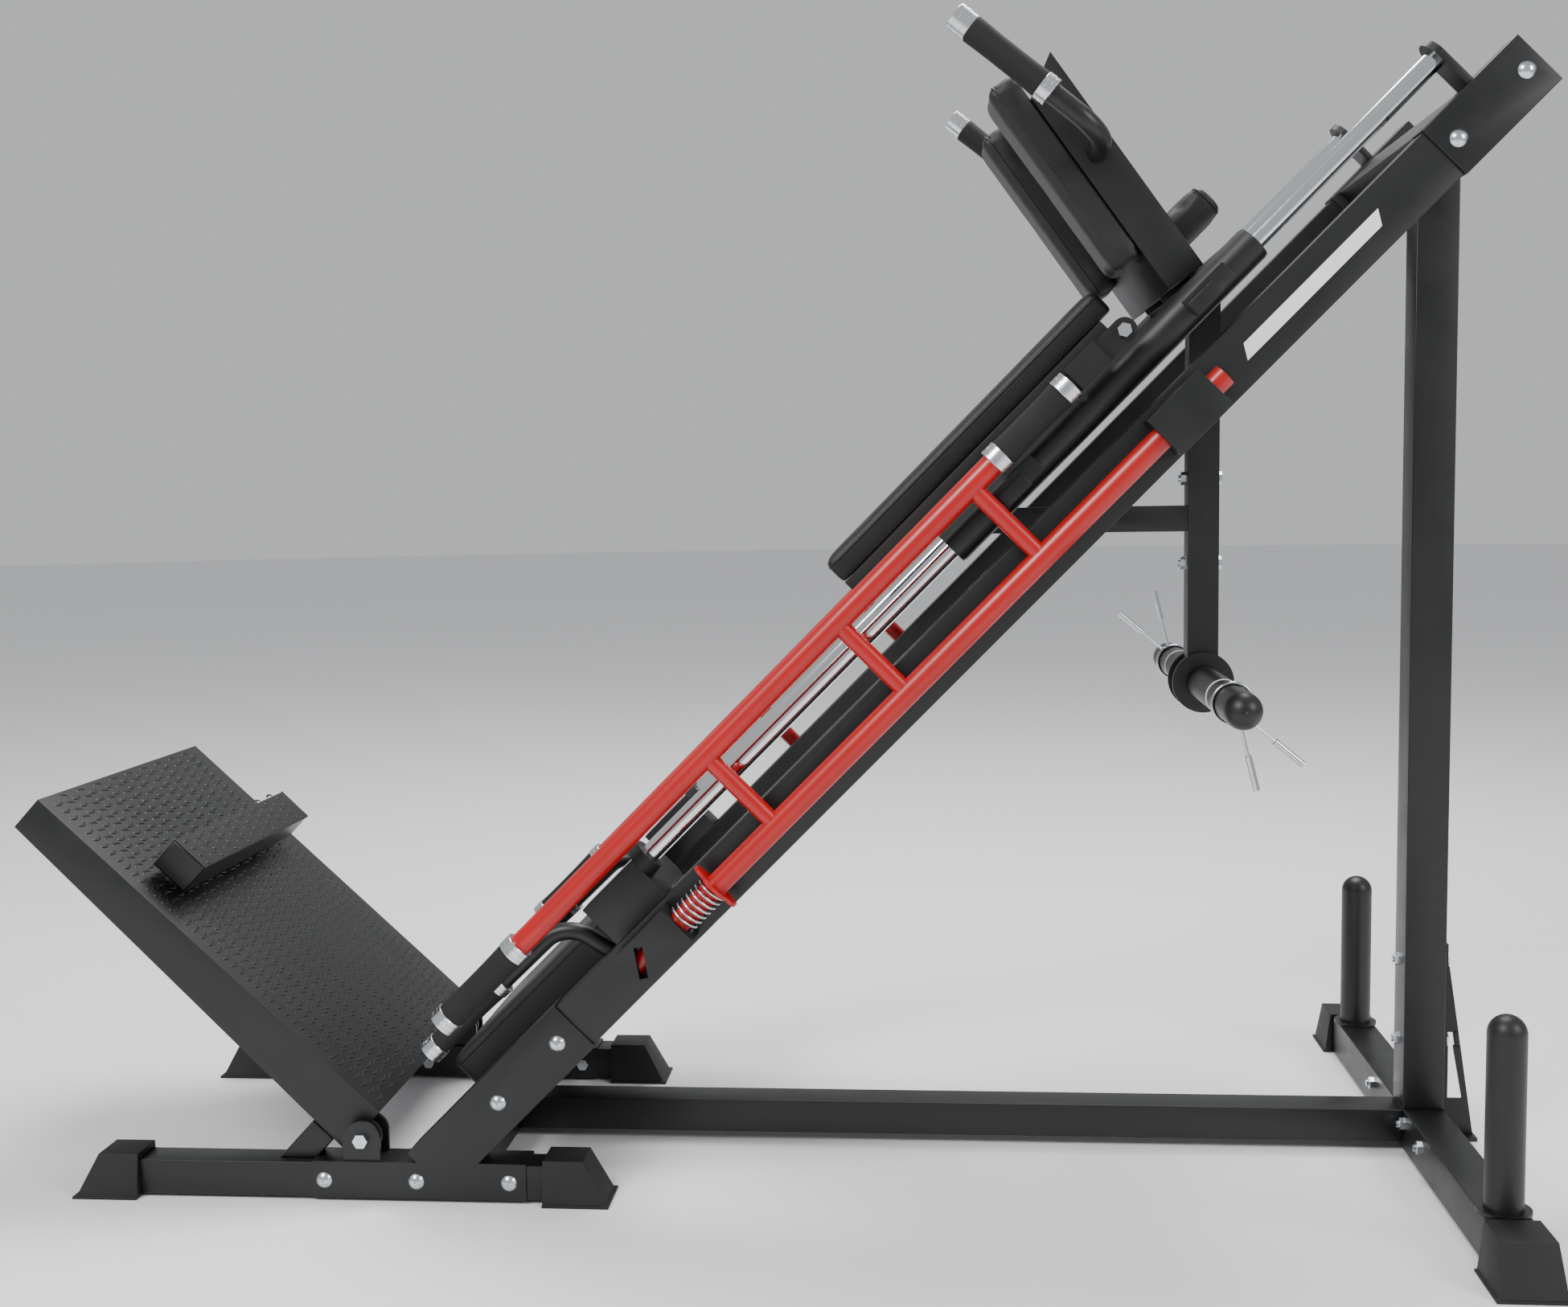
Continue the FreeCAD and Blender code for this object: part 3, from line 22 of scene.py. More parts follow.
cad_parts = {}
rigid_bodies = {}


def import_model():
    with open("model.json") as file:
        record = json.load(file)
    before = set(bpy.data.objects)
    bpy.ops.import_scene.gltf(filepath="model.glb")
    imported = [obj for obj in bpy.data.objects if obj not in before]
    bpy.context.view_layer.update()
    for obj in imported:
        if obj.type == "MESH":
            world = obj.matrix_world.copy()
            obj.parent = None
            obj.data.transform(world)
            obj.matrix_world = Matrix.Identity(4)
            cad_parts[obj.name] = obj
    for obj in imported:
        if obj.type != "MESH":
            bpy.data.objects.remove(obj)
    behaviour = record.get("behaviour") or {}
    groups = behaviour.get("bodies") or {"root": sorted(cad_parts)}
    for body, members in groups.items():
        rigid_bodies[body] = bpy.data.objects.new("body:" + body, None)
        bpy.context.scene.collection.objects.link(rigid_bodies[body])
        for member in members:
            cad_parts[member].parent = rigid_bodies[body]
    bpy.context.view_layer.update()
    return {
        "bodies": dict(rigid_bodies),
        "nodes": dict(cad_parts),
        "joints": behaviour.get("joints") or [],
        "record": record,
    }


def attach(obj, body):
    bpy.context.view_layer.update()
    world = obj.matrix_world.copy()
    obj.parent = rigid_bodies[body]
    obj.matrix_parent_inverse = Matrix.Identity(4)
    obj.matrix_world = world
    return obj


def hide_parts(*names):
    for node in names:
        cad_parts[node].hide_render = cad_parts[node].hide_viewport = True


LOG = logging.getLogger("leg_press")
MM = 0.001
WELD = 0.01 * MM
THREAD_RADIUS = 0.55 * MM
CLOTH_PRESSURE = 4.0
CLOTH_FRAMES = 20


class Tilt(Enum):
    """The directions that pieces are square to: a turn about Y, in degrees."""

    SLOPE = -45.0
    TRAY = -35.5
    PLATE = -47.0

    def matrix(self) -> Matrix:
        """The turn as a 4 x 4 matrix."""
        return Matrix.Rotation(math.radians(self.value), 4, "Y")


class Grain(Enum):
    """How a finish's surface was made, which sets its fine relief."""

    ORANGE_PEEL = "sprayed powder that flowed as it baked"
    LEATHER = "embossed hide grain"
    FOAM = "closed cells cut by a mould"
    BRUSHED = "drawn or ground along its length"
    MOULDED = "fine spark-eroded mould texture"
    PLY = "rotary cut wood"


def linear(colour: str) -> tuple[float, float, float, float]:
    """Turns an sRGB hex colour into a linear one.

    Args:
        colour: The colour as "#rrggbb".

    Returns:
        Red, green, blue and an alpha of one.
    """
    channels = (int(colour[i : i + 2], 16) / 255 for i in (1, 3, 5))
    curve = [c / 12.92 if c <= 0.04045 else ((c + 0.055) / 1.055) ** 2.4 for c in channels]
    return (curve[0], curve[1], curve[2], 1.0)


def add(tree: bpy.types.NodeTree, kind: str, inputs: dict | None = None,
        **settings) -> bpy.types.Node:
    """Adds one node.

    Args:
        tree: The material's node tree.
        kind: The node's type name.
        inputs: A value or a source socket for each input named or numbered.
        **settings: The node's own properties.

    Returns:
        The new node.
    """
    node = tree.nodes.new(kind)
    for name, value in settings.items():
        setattr(node, name, value)
    for socket, value in (inputs or {}).items():
        if isinstance(value, bpy.types.NodeSocket):
            tree.links.new(value, node.inputs[socket])
        else:
            node.inputs[socket].default_value = value
    return node


@dataclass(frozen=True)
class Finish:
    """One real material: what it is, its colours and its relief at real size."""

    name: str
    slot: str
    colour: str
    shade: str
    roughness: tuple[float, float]
    grain: Grain
    grain_mm: float
    depth_mm: float
    patch_mm: float = 90.0
    metallic: float = 0.0
    ior: float = 1.5
    coat: float = 0.0
    sheen: float = 0.0

    def relief(self, tree: bpy.types.NodeTree, place: bpy.types.NodeSocket) -> bpy.types.NodeSocket:
        """Makes the height pattern of the finish.

        Args:
            tree: The material's node tree.
            place: Object coordinates, in metres.

        Returns:
            The socket that gives the height from 0 to 1.
        """
        per_metre = 1.0 / (self.grain_mm * MM)
        if self.grain is Grain.LEATHER:
            cells = add(tree, "ShaderNodeTexVoronoi", {"Vector": place, "Scale": per_metre},
                        feature="DISTANCE_TO_EDGE")
            lift = add(tree, "ShaderNodeMapRange", {"Value": cells.outputs["Distance"],
                                                    "From Max": 0.22})
            return lift.outputs["Result"]
        if self.grain is Grain.FOAM:
            cells = add(tree, "ShaderNodeTexVoronoi", {"Vector": place, "Scale": per_metre},
                        feature="SMOOTH_F1")
            return cells.outputs["Distance"]
        if self.grain in (Grain.BRUSHED, Grain.PLY):
            along = add(tree, "ShaderNodeMapping", {"Vector": place, "Scale": (0.04, 1.0, 1.0),
                        "Rotation": (0.0, math.radians(-Tilt.SLOPE.value), 0.0)})
            lines = add(tree, "ShaderNodeTexNoise", {"Vector": along.outputs["Vector"],
                                                     "Scale": per_metre, "Detail": 3.0})
            return lines.outputs["Fac"]
        bumps = add(tree, "ShaderNodeTexNoise", {"Vector": place, "Scale": per_metre, "Detail": 2.0,
                                                 "Roughness": 0.55})
        return bumps.outputs["Fac"]

    def material(self) -> bpy.types.Material:
        """Makes the node material once, and gives the same one after that."""
        made = bpy.data.materials.get(self.name)
        if made:
            return made
        made = bpy.data.materials.new(self.name)
        made.use_nodes = True
        tree = made.node_tree
        shader = tree.nodes["Principled BSDF"]
        place = add(tree, "ShaderNodeTexCoord").outputs["Object"]
        patches = add(tree, "ShaderNodeTexNoise",
                      {"Vector": place, "Scale": 1 / (self.patch_mm * MM), "Detail": 4.0,
                       "Roughness": 0.6})
        tree.links.new(self.mixed(tree, patches.outputs["Fac"]), shader.inputs["Base Color"])
        gloss = add(tree, "ShaderNodeMapRange", {"Value": patches.outputs["Fac"], "From Min": 0.3,
                    "From Max": 0.7, "To Min": self.roughness[0], "To Max": self.roughness[1]})
        tree.links.new(gloss.outputs["Result"], shader.inputs["Roughness"])
        bump = add(tree, "ShaderNodeBump", {"Height": self.relief(tree, place), "Strength": 1.0,
                                            "Distance": self.depth_mm * MM})
        tree.links.new(bump.outputs["Normal"], shader.inputs["Normal"])
        shader.inputs["Metallic"].default_value = self.metallic
        shader.inputs["IOR"].default_value = self.ior
        shader.inputs["Coat Weight"].default_value = self.coat
        shader.inputs["Coat Roughness"].default_value = 0.12
        shader.inputs["Sheen Weight"].default_value = self.sheen
        return made

    def mixed(self, tree: bpy.types.NodeTree, factor: bpy.types.NodeSocket) -> bpy.types.NodeSocket:
        """The colour, drifting a little towards the shade over each patch."""
        ramp = add(tree, "ShaderNodeValToRGB", {"Fac": factor})
        tones = ((0.35, self.colour), (0.7, self.shade))
        for stop, (spot, tone) in zip(ramp.color_ramp.elements, tones):
            stop.position = spot
            stop.color = linear(tone)
        return ramp.outputs["Color"]


# Epoxy powder coat, satin: a soft sheen with a faint orange peel, drawn at twice its real size.
BLACK_POWDER = Finish("Satin black epoxy powder coat", "black_powder_coat", "#0a0b0c", "#0f1011",
                      (0.38, 0.48), Grain.ORANGE_PEEL, 1.4, 0.05)
# The same powder in gloss red under a clear skin, so it shows sharper highlights.
RED_POWDER = Finish("Gloss red polyester powder coat", "red_powder_coat", "#b00004", "#a60004",
                    (0.3, 0.38), Grain.ORANGE_PEEL, 1.8, 0.04, coat=0.12)
# Hard chrome, ground and polished: mirror-like with a trace of lengthwise grinding.
CHROME = Finish("Polished hard chrome", "chrome", "#dfe1e4", "#d5d8dc", (0.07, 0.13),
                Grain.BRUSHED, 0.5, 0.004, metallic=1.0)
# Turned aluminium clamp rings: bright with a soft satin of tool marks.
ALUMINIUM = Finish("Turned aluminium", "chrome", "#d9dbde", "#cfd2d6", (0.2, 0.3),
                   Grain.BRUSHED, 0.6, 0.01, metallic=1.0)
# Nitrile foam rubber: dull, with closed cells of about a millimetre.
FOAM_RUBBER = Finish("Nitrile foam rubber", "black_rubber", "#0c0c0c", "#10100f", (0.72, 0.85),
                     Grain.FOAM, 0.9, 0.10)
# Natural rubber, moulded: darker and smoother than the foam.
MOULDED_RUBBER = Finish("Moulded rubber", "black_rubber", "#0b0b0c", "#0f0f10", (0.55, 0.68),
                        Grain.MOULDED, 0.8, 0.05)
# PVC upholstery on a knit backing: embossed hide grain with a low waxy sheen.
VINYL = Finish("PVC upholstery vinyl", "black_vinyl", "#08080a", "#0a0a0c", (0.46, 0.5),
               Grain.LEATHER, 1.9, 0.09, sheen=0.03)
# Bonded polyester thread along the seams, a little lighter than the cover.
THREAD = Finish("Bonded polyester thread", "black_vinyl", "#2a2a2d", "#323236", (0.6, 0.7),
                Grain.MOULDED, 0.5, 0.03)
# Zinc plate on steel bolts: bright with a cool, slightly cloudy passivation.
ZINC = Finish("Bright zinc plated steel", "zinc_plate", "#d3d7db", "#c3c9d0", (0.2, 0.3),
              Grain.MOULDED, 0.7, 0.01, patch_mm=8.0, metallic=1.0)
# Music wire, drawn bright.
SPRING_STEEL = Finish("Bright drawn spring steel", "spring_steel", "#cdd0d3", "#bfc3c7",
                      (0.16, 0.24), Grain.BRUSHED, 0.6, 0.005, patch_mm=20.0, metallic=1.0)
# Nylon 6, injection moulded: even, faintly textured.
NYLON = Finish("Moulded nylon", "black_nylon", "#101011", "#151516", (0.42, 0.52),
               Grain.MOULDED, 0.7, 0.04)
# Black-stained birch plywood behind the pads.
PLYWOOD = Finish("Black stained birch plywood", "black_board", "#1a1816", "#26221e", (0.6, 0.75),
                 Grain.PLY, 1.5, 0.08)
# Self-adhesive marking film.
WHITE_FILM = Finish("White vinyl film", "black_powder_coat", "#eeeeec", "#e6e6e4", (0.35, 0.42),
                    Grain.MOULDED, 0.8, 0.01)


def shade_by_angle(shape: bmesh.types.BMesh, degrees: float = 32.0) -> None:
    """Marks faces smooth and edges sharper than an angle as sharp."""
    limit = math.radians(degrees)
    for face in shape.faces:
        face.smooth = True
    for edge in shape.edges:
        edge.smooth = len(edge.link_faces) == 2 and edge.calc_face_angle(0.0) < limit


def finish_piece(shape: bmesh.types.BMesh, name: str, body: str, finish: Finish,
                 node: str | None = None, smooth: float = 32.0) -> bpy.types.Object:
    """Turns a bmesh into a finished piece on its body.

    Args:
        shape: The mesh, in place, in metres; it is freed.
        name: The piece's name.
        body: The body it moves with.
        finish: Its material.
        node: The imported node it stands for, if it replaces one.
        smooth: Edges below this angle, in degrees, are shaded smooth.

    Returns:
        The new object, at the origin.
    """
    bmesh.ops.recalc_face_normals(shape, faces=shape.faces)
    shade_by_angle(shape, smooth)
    mesh = bpy.data.meshes.new(name)
    shape.to_mesh(mesh)
    shape.free()
    piece = bpy.data.objects.new(name, mesh)
    bpy.context.scene.collection.objects.link(piece)
    mesh.materials.append(finish.material())
    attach(piece, body)
    if node:
        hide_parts(node)
    LOG.info("%s: %d faces on %s", name, len(mesh.polygons), body)
    return piece


def extent(node: bpy.types.Object, tilt: Tilt) -> tuple[Vector, Vector]:
    """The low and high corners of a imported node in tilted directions, in metres."""
    turn = tilt.matrix().inverted()
    spots = [turn @ vertex.co for vertex in node.data.vertices]
    return (Vector(min(spot[i] for spot in spots) for i in range(3)),
            Vector(max(spot[i] for spot in spots) for i in range(3)))


def solids(node: bpy.types.Object) -> list[bmesh.types.BMesh]:
    """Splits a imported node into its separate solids.

    Args:
        node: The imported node.

    Returns:
        Each solid as its own merged mesh.
    """
    whole = bmesh.new()
    whole.from_mesh(node.data)
    bmesh.ops.remove_doubles(whole, verts=whole.verts, dist=WELD)
    whole.verts.index_update()
    left, found = set(whole.verts), []
    while left:
        stack = [left.pop()]
        island = {stack[0].index}
        while stack:
            vertex = stack.pop()
            for edge in vertex.link_edges:
                other = edge.other_vert(vertex)
                if other in left:
                    left.discard(other)
                    island.add(other.index)
                    stack.append(other)
        part = whole.copy()
        strangers = [vertex for vertex in part.verts if vertex.index not in island]
        bmesh.ops.delete(part, geom=strangers, context="VERTS")
        found.append(part)
    whole.free()
    return found


@dataclass(frozen=True)
class Ring:
    """The size and place of one round solid."""

    place: Matrix
    half: float
    bore: float
    outer: float
    closed_end: int

    @classmethod
    def of(cls, shape: bmesh.types.BMesh) -> Ring:
        """Measures a round solid about its own axis.

        Args:
            shape: The merged solid.

        Returns:
            Its ring; closed_end is -1 or 1 where a floor closes that end of the bore, else 0.
        """
        areas = np.array([face.calc_area() for face in shape.faces])
        spots = np.array([face.calc_center_median()[:] for face in shape.faces])
        centre = areas @ spots / areas.sum()
        offsets = spots - centre
        spread, axes = np.linalg.eigh((offsets * areas[:, None]).T @ offsets / areas.sum())
        axis = axes[:, 2] if spread[2] - spread[1] >= spread[1] - spread[0] else axes[:, 0]
        corners = np.array([vertex.co[:] for vertex in shape.verts]) - centre
        along = corners @ axis
        radii = np.linalg.norm(corners - np.outer(along, axis), axis=1)
        half = (along.max() - along.min()) / 2
        middle = (along.max() + along.min()) / 2
        wall = along[radii < radii.min() + 0.2 * MM] - middle
        closed = -1 if wall.min() > -half + MM else 1 if wall.max() < half - MM else 0
        heading = Vector(axis)
        spot = Vector(centre) + heading * middle
        turn = heading.to_track_quat("Z", "Y").to_matrix().to_4x4()
        return cls(Matrix.Translation(spot) @ turn, half, radii.min(), radii.max(), closed)


def lathe(profile: Iterable[tuple[float, float]], steps: int, place: Matrix,
          into: bmesh.types.BMesh | None = None) -> bmesh.types.BMesh:
    """Turns a profile about its own Z axis.

    Args:
        profile: Radius and height of each point, in metres, from one end to the other.
        steps: Facets round the axis.
        place: Where the turned shape goes.
        into: A mesh to add it to.

    Returns:
        The mesh that holds it.
    """
    shape = into or bmesh.new()
    line = [shape.verts.new((radius, 0.0, height)) for radius, height in profile]
    edges = [shape.edges.new(pair) for pair in zip(line, line[1:])]
    made = bmesh.ops.spin(shape, geom=[*line, *edges], axis=(0, 0, 1), cent=(0, 0, 0),
                          angle=math.tau, steps=steps, use_merge=True, use_duplicate=False)
    points = set(line)
    for item in made["geom_last"]:
        if isinstance(item, bmesh.types.BMVert):
            points.add(item)
    island, stack = set(points), list(points)
    while stack:
        for edge in stack.pop().link_edges:
            for vertex in edge.verts:
                if vertex not in island:
                    island.add(vertex)
                    stack.append(vertex)
    bmesh.ops.remove_doubles(shape, verts=list(island), dist=0.005 * MM)
    island = [vertex for vertex in island if vertex.is_valid]
    bmesh.ops.transform(shape, matrix=place, verts=island)
    return shape


@dataclass
class Pad:
    """One upholstered pad: foam on a board under a sewn vinyl cover."""

    node: str
    body: str
    tilt: Tilt
    outward: Vector
    corner: float = 11 * MM
    edge: float = 8 * MM
    swell: float = 3.5 * MM
    voxel: float = 5.5 * MM
    seam_drop: float = 13 * MM
    welt: float = 1.3 * MM
    stitch_pitch: float = 8 * MM

    def placement(self, node: bpy.types.Object) -> tuple[Matrix, Vector]:
        """Finds the pad's own frame, with its face up, and its size.

        Args:
            node: The plain packed pad.

        Returns:
            The frame, its origin at the middle of the pad's back, and the pad's size.
        """
        low, high = extent(node, self.tilt)
        across = Vector((0, 1, 0))
        along = across.cross(self.outward)
        middle, half = (low + high) / 2, (high - low) / 2
        axes = (along, across, self.outward)
        size = Vector(2 * abs(half.dot(axis)) for axis in axes)
        turn = Matrix(axes).transposed().to_4x4()
        origin = middle - self.outward * size.z / 2
        return self.tilt.matrix() @ Matrix.Translation(origin) @ turn, size

    def blank(self, size: Vector) -> bmesh.types.BMesh:
        """The cut foam: a block with rounded corners and a softened face, a swell smaller.

        Args:
            size: The pad's full size.

        Returns:
            The foam's mesh.
        """
        shape = bmesh.new()
        bmesh.ops.create_cube(shape, size=1.0)
        inner = Vector((size.x - 2 * self.swell, size.y - 2 * self.swell, size.z - self.swell))
        bmesh.ops.scale(shape, vec=inner, verts=shape.verts)
        bmesh.ops.translate(shape, vec=(0, 0, inner.z / 2), verts=shape.verts)
        upright = [e for e in shape.edges if abs(e.verts[0].co.z - e.verts[1].co.z) > inner.z / 2]
        bmesh.ops.bevel(shape, geom=upright, offset=self.corner, segments=6, profile=0.5,
                        affect="EDGES", material=-1)
        face_edges = [e for e in shape.edges if min(v.co.z for v in e.verts) > inner.z - MM]
        bmesh.ops.bevel(shape, geom=face_edges, offset=self.edge, segments=4, profile=0.5,
                        affect="EDGES", material=-1)
        return shape

    def stuffed(self, shape: bmesh.types.BMesh, size: Vector) -> bmesh.types.BMesh:
        """Swells the cover as a cloth under pressure, flat where it lies on its board.

        Args:
            shape: The cut foam; it is freed.
            size: The pad's full size.

        Returns:
            The swollen cover.
        """
        mesh = bpy.data.meshes.new("cover")
        shape.to_mesh(mesh)
        shape.free()
        cover = bpy.data.objects.new("cover", mesh)
        scene = bpy.context.scene
        scene.collection.objects.link(cover)
        remesh = cover.modifiers.new("even", "REMESH")
        remesh.mode = "VOXEL"
        remesh.voxel_size = self.voxel
        even = bpy.data.meshes.new_from_object(
            cover.evaluated_get(bpy.context.evaluated_depsgraph_get()))
        cover.modifiers.clear()
        cover.data = even
        rest = [vertex.co.copy() for vertex in even.vertices]
        cloth = cover.modifiers.new("pressure", "CLOTH")
        cloth.settings.use_pressure = True
        cloth.settings.uniform_pressure_force = CLOTH_PRESSURE
        cloth.settings.effector_weights.gravity = 0.0
        for step in range(1, CLOTH_FRAMES + 1):
            scene.frame_set(step)
        full = bpy.data.meshes.new_from_object(
            cover.evaluated_get(bpy.context.evaluated_depsgraph_get()))
        cover.modifiers.clear()
        cover.data = full
        scene.frame_set(1)
        half_x, half_y = size.x / 2, size.y / 2
        for vertex, start in zip(cover.data.vertices, rest):
            shift = vertex.co - start
            if shift.length > self.swell:
                shift *= self.swell / shift.length
            crown = (1 - (start.x / half_x) ** 4) * (1 - (start.y / half_y) ** 4)
            lift = 0.35 * self.swell * max(crown, 0.0) * min(max(start.z / size.z, 0.0), 1.0)
            spot = start + shift + Vector((0, 0, lift))
            spot.z = min(max(spot.z, 0.0), size.z)
            vertex.co = spot
        result = bmesh.new()
        result.from_mesh(cover.data)
        bpy.data.objects.remove(cover)
        for _ in range(2):
            bmesh.ops.smooth_vert(result, verts=result.verts, factor=0.5, use_axis_x=True,
                                  use_axis_y=True, use_axis_z=True)
        return result

    def round_the_side(self, cover: bmesh.types.BMesh, size: Vector, height: float,
                       pitch: float) -> list[Vector]:
        """Points on the cover's side at one height, evenly spaced all the way round.

        Args:
            cover: The swollen cover.
            size: The pad's full size.
            height: The height above the board.
            pitch: The distance between points.

        Returns:
            The points, in order.
        """
        tree = BVHTree.FromBMesh(cover)
        half_x, half_y = size.x / 2 - self.corner, size.y / 2 - self.corner
        corners = ((half_x, half_y, 0), (-half_x, half_y, 1), (-half_x, -half_y, 2),
                   (half_x, -half_y, 3))
        outline: list[tuple[Vector, Vector]] = []
        for x, y, quarter in corners:
            turns = [math.radians(90 * quarter + 10 * step) for step in range(10)]
            for angle in turns:
                way = Vector((math.cos(angle), math.sin(angle), 0))
                outline.append((Vector((x, y, height)), way))
        points: list[Vector] = []
        closed = [*outline, outline[0]]
        for (start, way), (after, next_way) in zip(closed, closed[1:]):
            steps = max(1, round((after - start).length / pitch))
            for step in range(steps):
                part = step / steps
                centre = start.lerp(after, part)
                heading = way.lerp(next_way, part).normalized()
                hit = tree.ray_cast(centre + heading * (self.corner + 30 * MM), -heading)
                if hit[0] is not None:
                    points.append(hit[0] + heading * 0.2 * MM)
        return points

    def build(self, frame: dict) -> None:
        """Makes the cover, its welt and its row of stitches.

        Args:
            frame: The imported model.
        """
        place, size = self.placement(frame["nodes"][self.node])
        cover = self.stuffed(self.blank(size), size)
        seam = self.round_the_side(cover, size, size.z - self.seam_drop, 6 * MM)
        row = self.round_the_side(cover, size, size.z - self.seam_drop - 4 * MM, self.stitch_pitch)
        bmesh.ops.transform(cover, matrix=place, verts=cover.verts)
        piece = finish_piece(cover, f"{self.node}_cover", self.body, VINYL, self.node, smooth=60)
        smoother = piece.modifiers.new("soft", "SUBSURF")
        smoother.levels = smoother.render_levels = 1
        welt = cord_round([place @ point for point in seam], self.welt)
        finish_piece(welt, f"{self.node}_welt", self.body, VINYL, smooth=60)
        thread = bmesh.new()
        for index, point in enumerate(row):
            after = row[(index + 1) % len(row)]
            stitch(thread, place @ point, place @ point.lerp(after, 0.55))
        finish_piece(thread, f"{self.node}_stitches", self.body, THREAD, smooth=60)


def cord_round(points: list[Vector], radius: float) -> bmesh.types.BMesh:
    """A round cord through a closed loop of points.

    Args:
        points: The loop, in order.
        radius: The cord's radius.

    Returns:
        The cord as a mesh.
    """
    line = bpy.data.curves.new("cord", "CURVE")
    line.dimensions = "3D"
    line.bevel_depth = radius
    line.bevel_resolution = 2
    path = line.splines.new("POLY")
    path.points.add(len(points) - 1)
    for spot, point in zip(path.points, points):
        spot.co = (*point, 1.0)
    path.use_cyclic_u = True
    holder = bpy.data.objects.new("cord", line)
    mesh = bpy.data.meshes.new_from_object(holder)
    shape = bmesh.new()
    shape.from_mesh(mesh)
    bpy.data.objects.remove(holder)
    return shape


def stitch(shape: bmesh.types.BMesh, begin: Vector, end: Vector) -> None:
    """Adds one short stitch of thread to a mesh.

    Args:
        shape: The mesh that holds the row of stitches.
        begin: Where the thread comes up.
        end: Where it goes down again.
    """
    way = end - begin
    turn = way.to_track_quat("Z", "Y").to_matrix().to_4x4()
    stretch = Matrix.Diagonal((THREAD_RADIUS, THREAD_RADIUS, way.length / 2, 1.0))
    bmesh.ops.create_icosphere(shape, subdivisions=1, radius=1.0,
                               matrix=Matrix.Translation((begin + end) / 2) @ turn @ stretch)


@dataclass
class Grips:
    """Foam grips and the clamp rings beside them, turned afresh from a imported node."""

    node: str
    body: str
    finish: Finish
    steps: int = 40
    round_off: float = 2.4 * MM
    groove_deep: float = 0.8 * MM
    groove_wide: float = 1.5 * MM
    screw: float = 2.7 * MM

    def foam(self, ring: Ring) -> list[tuple[float, float]]:
        """A grip's profile: rounded ends and a waist a little slimmer than its ends.

        Args:
            ring: The grip's size.

        Returns:
            Radius and height of each point.
        """
        high, edge, outer = ring.half, self.round_off, ring.outer
        arc = [(outer - edge + edge * math.sin(math.radians(15 * k)),
                high - edge + edge * math.cos(math.radians(15 * k))) for k in range(7)]
        waist = [(outer - 0.5 * MM, 0.72 * high), (outer - 0.9 * MM, 0.3 * high)]
        upper = [(ring.bore, high), *arc, *waist]
        lower = [(radius, -height) for radius, height in reversed(upper)]
        return [*upper, *lower, upper[0]]

    def metal(self, ring: Ring) -> list[tuple[float, float]]:
        """A clamp ring's profile: broken corners and two turned grooves.

        Args:
            ring: The clamp ring's size.

        Returns:
            Radius and height of each point.
        """
        high, outer, cut = ring.half, ring.outer, 0.9 * MM
        wall = [(ring.bore, -high), (outer - cut, -high), (outer, -high + cut)]
        for place in (-0.42, 0.42):
            middle, wide, deep = place * high, self.groove_wide / 2, self.groove_deep
            wall += [(outer, middle - wide), (outer - deep, middle - wide + 0.3 * MM),
                     (outer - deep, middle + wide - 0.3 * MM), (outer, middle + wide)]
        wall += [(outer, high - cut), (outer - cut, high), (ring.bore, high)]
        if not ring.closed_end:
            return [*wall, wall[0]]
        floor = -high + 6 * MM
        tip = [(0.0, -high), *wall[1:], (ring.bore, floor), (0.0, floor)]
        return [(radius, ring.closed_end * -height) for radius, height in tip]

    def build(self, frame: dict) -> None:
        """Turns every ring of the node and softens its other solids.

        Args:
            frame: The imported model.
        """
        shape = bmesh.new()
        for solid in solids(frame["nodes"][self.node]):
            ring = Ring.of(solid)
            if ring.bore < 11 * MM or ring.outer > 24 * MM:
                keep = bpy.data.meshes.new("kept")
                soften(solid, 2.5 * MM)
                solid.to_mesh(keep)
                shape.from_mesh(keep)
            elif self.finish.metallic:
                lathe(self.metal(ring), self.steps, ring.place, shape)
                side = ring.place @ Matrix.Rotation(math.radians(115), 4, "Z")
                side = side @ Matrix.Translation((ring.outer - 0.6 * MM, 0, 0))
                side = side @ Matrix.Rotation(math.radians(90), 4, "Y")
                lathe([(0.0, 0.1 * MM), (1.4 * MM, 0.1 * MM), (1.4 * MM, 0.9 * MM),
                       (self.screw - 0.3 * MM, 0.9 * MM), (self.screw, 0.6 * MM),
                       (self.screw, 0.0)], 12, side, shape)
            else:
                lathe(self.foam(ring), self.steps, ring.place, shape)
            solid.free()
        finish_piece(shape, f"{self.node}_turned", self.body, self.finish, self.node)


def soften(shape: bmesh.types.BMesh, width: float) -> None:
    """Rounds the long straight corners of a merged steel solid.

    Args:
        shape: The merged solid.
        width: How far the rounding reaches from each corner.
    """
    bmesh.ops.dissolve_limit(shape, angle_limit=math.radians(1), verts=shape.verts,
                             edges=shape.edges, delimit={"NORMAL"})
    corners = [edge for edge in shape.edges
               if len(edge.link_faces) == 2 and edge.calc_length() > 6 * width
               and math.radians(50) < abs(edge.calc_face_angle_signed(0.0))
               and min(face.calc_area() for face in edge.link_faces) > (4 * width) ** 2]
    bmesh.ops.bevel(shape, geom=corners, offset=width, segments=3, profile=0.5,
                    affect="EDGES", material=-1, clamp_overlap=True)


@dataclass
class Steel:
    """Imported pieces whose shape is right: given their finish, and rounded where folded."""

    body: str
    dress: dict[str, tuple[Finish, float]]

    def build(self, frame: dict) -> None:
        """Copies each piece, merges it, rounds its corners and shades it.

        Args:
            frame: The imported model.
        """
        for name, (finish, width) in self.dress.items():
            shape = bmesh.new()
            shape.from_mesh(frame["nodes"][name].data)
            bmesh.ops.remove_doubles(shape, verts=shape.verts, dist=WELD)
            if width:
                soften(shape, width)
            finish_piece(shape, f"{name}_finished", self.body, finish, name)


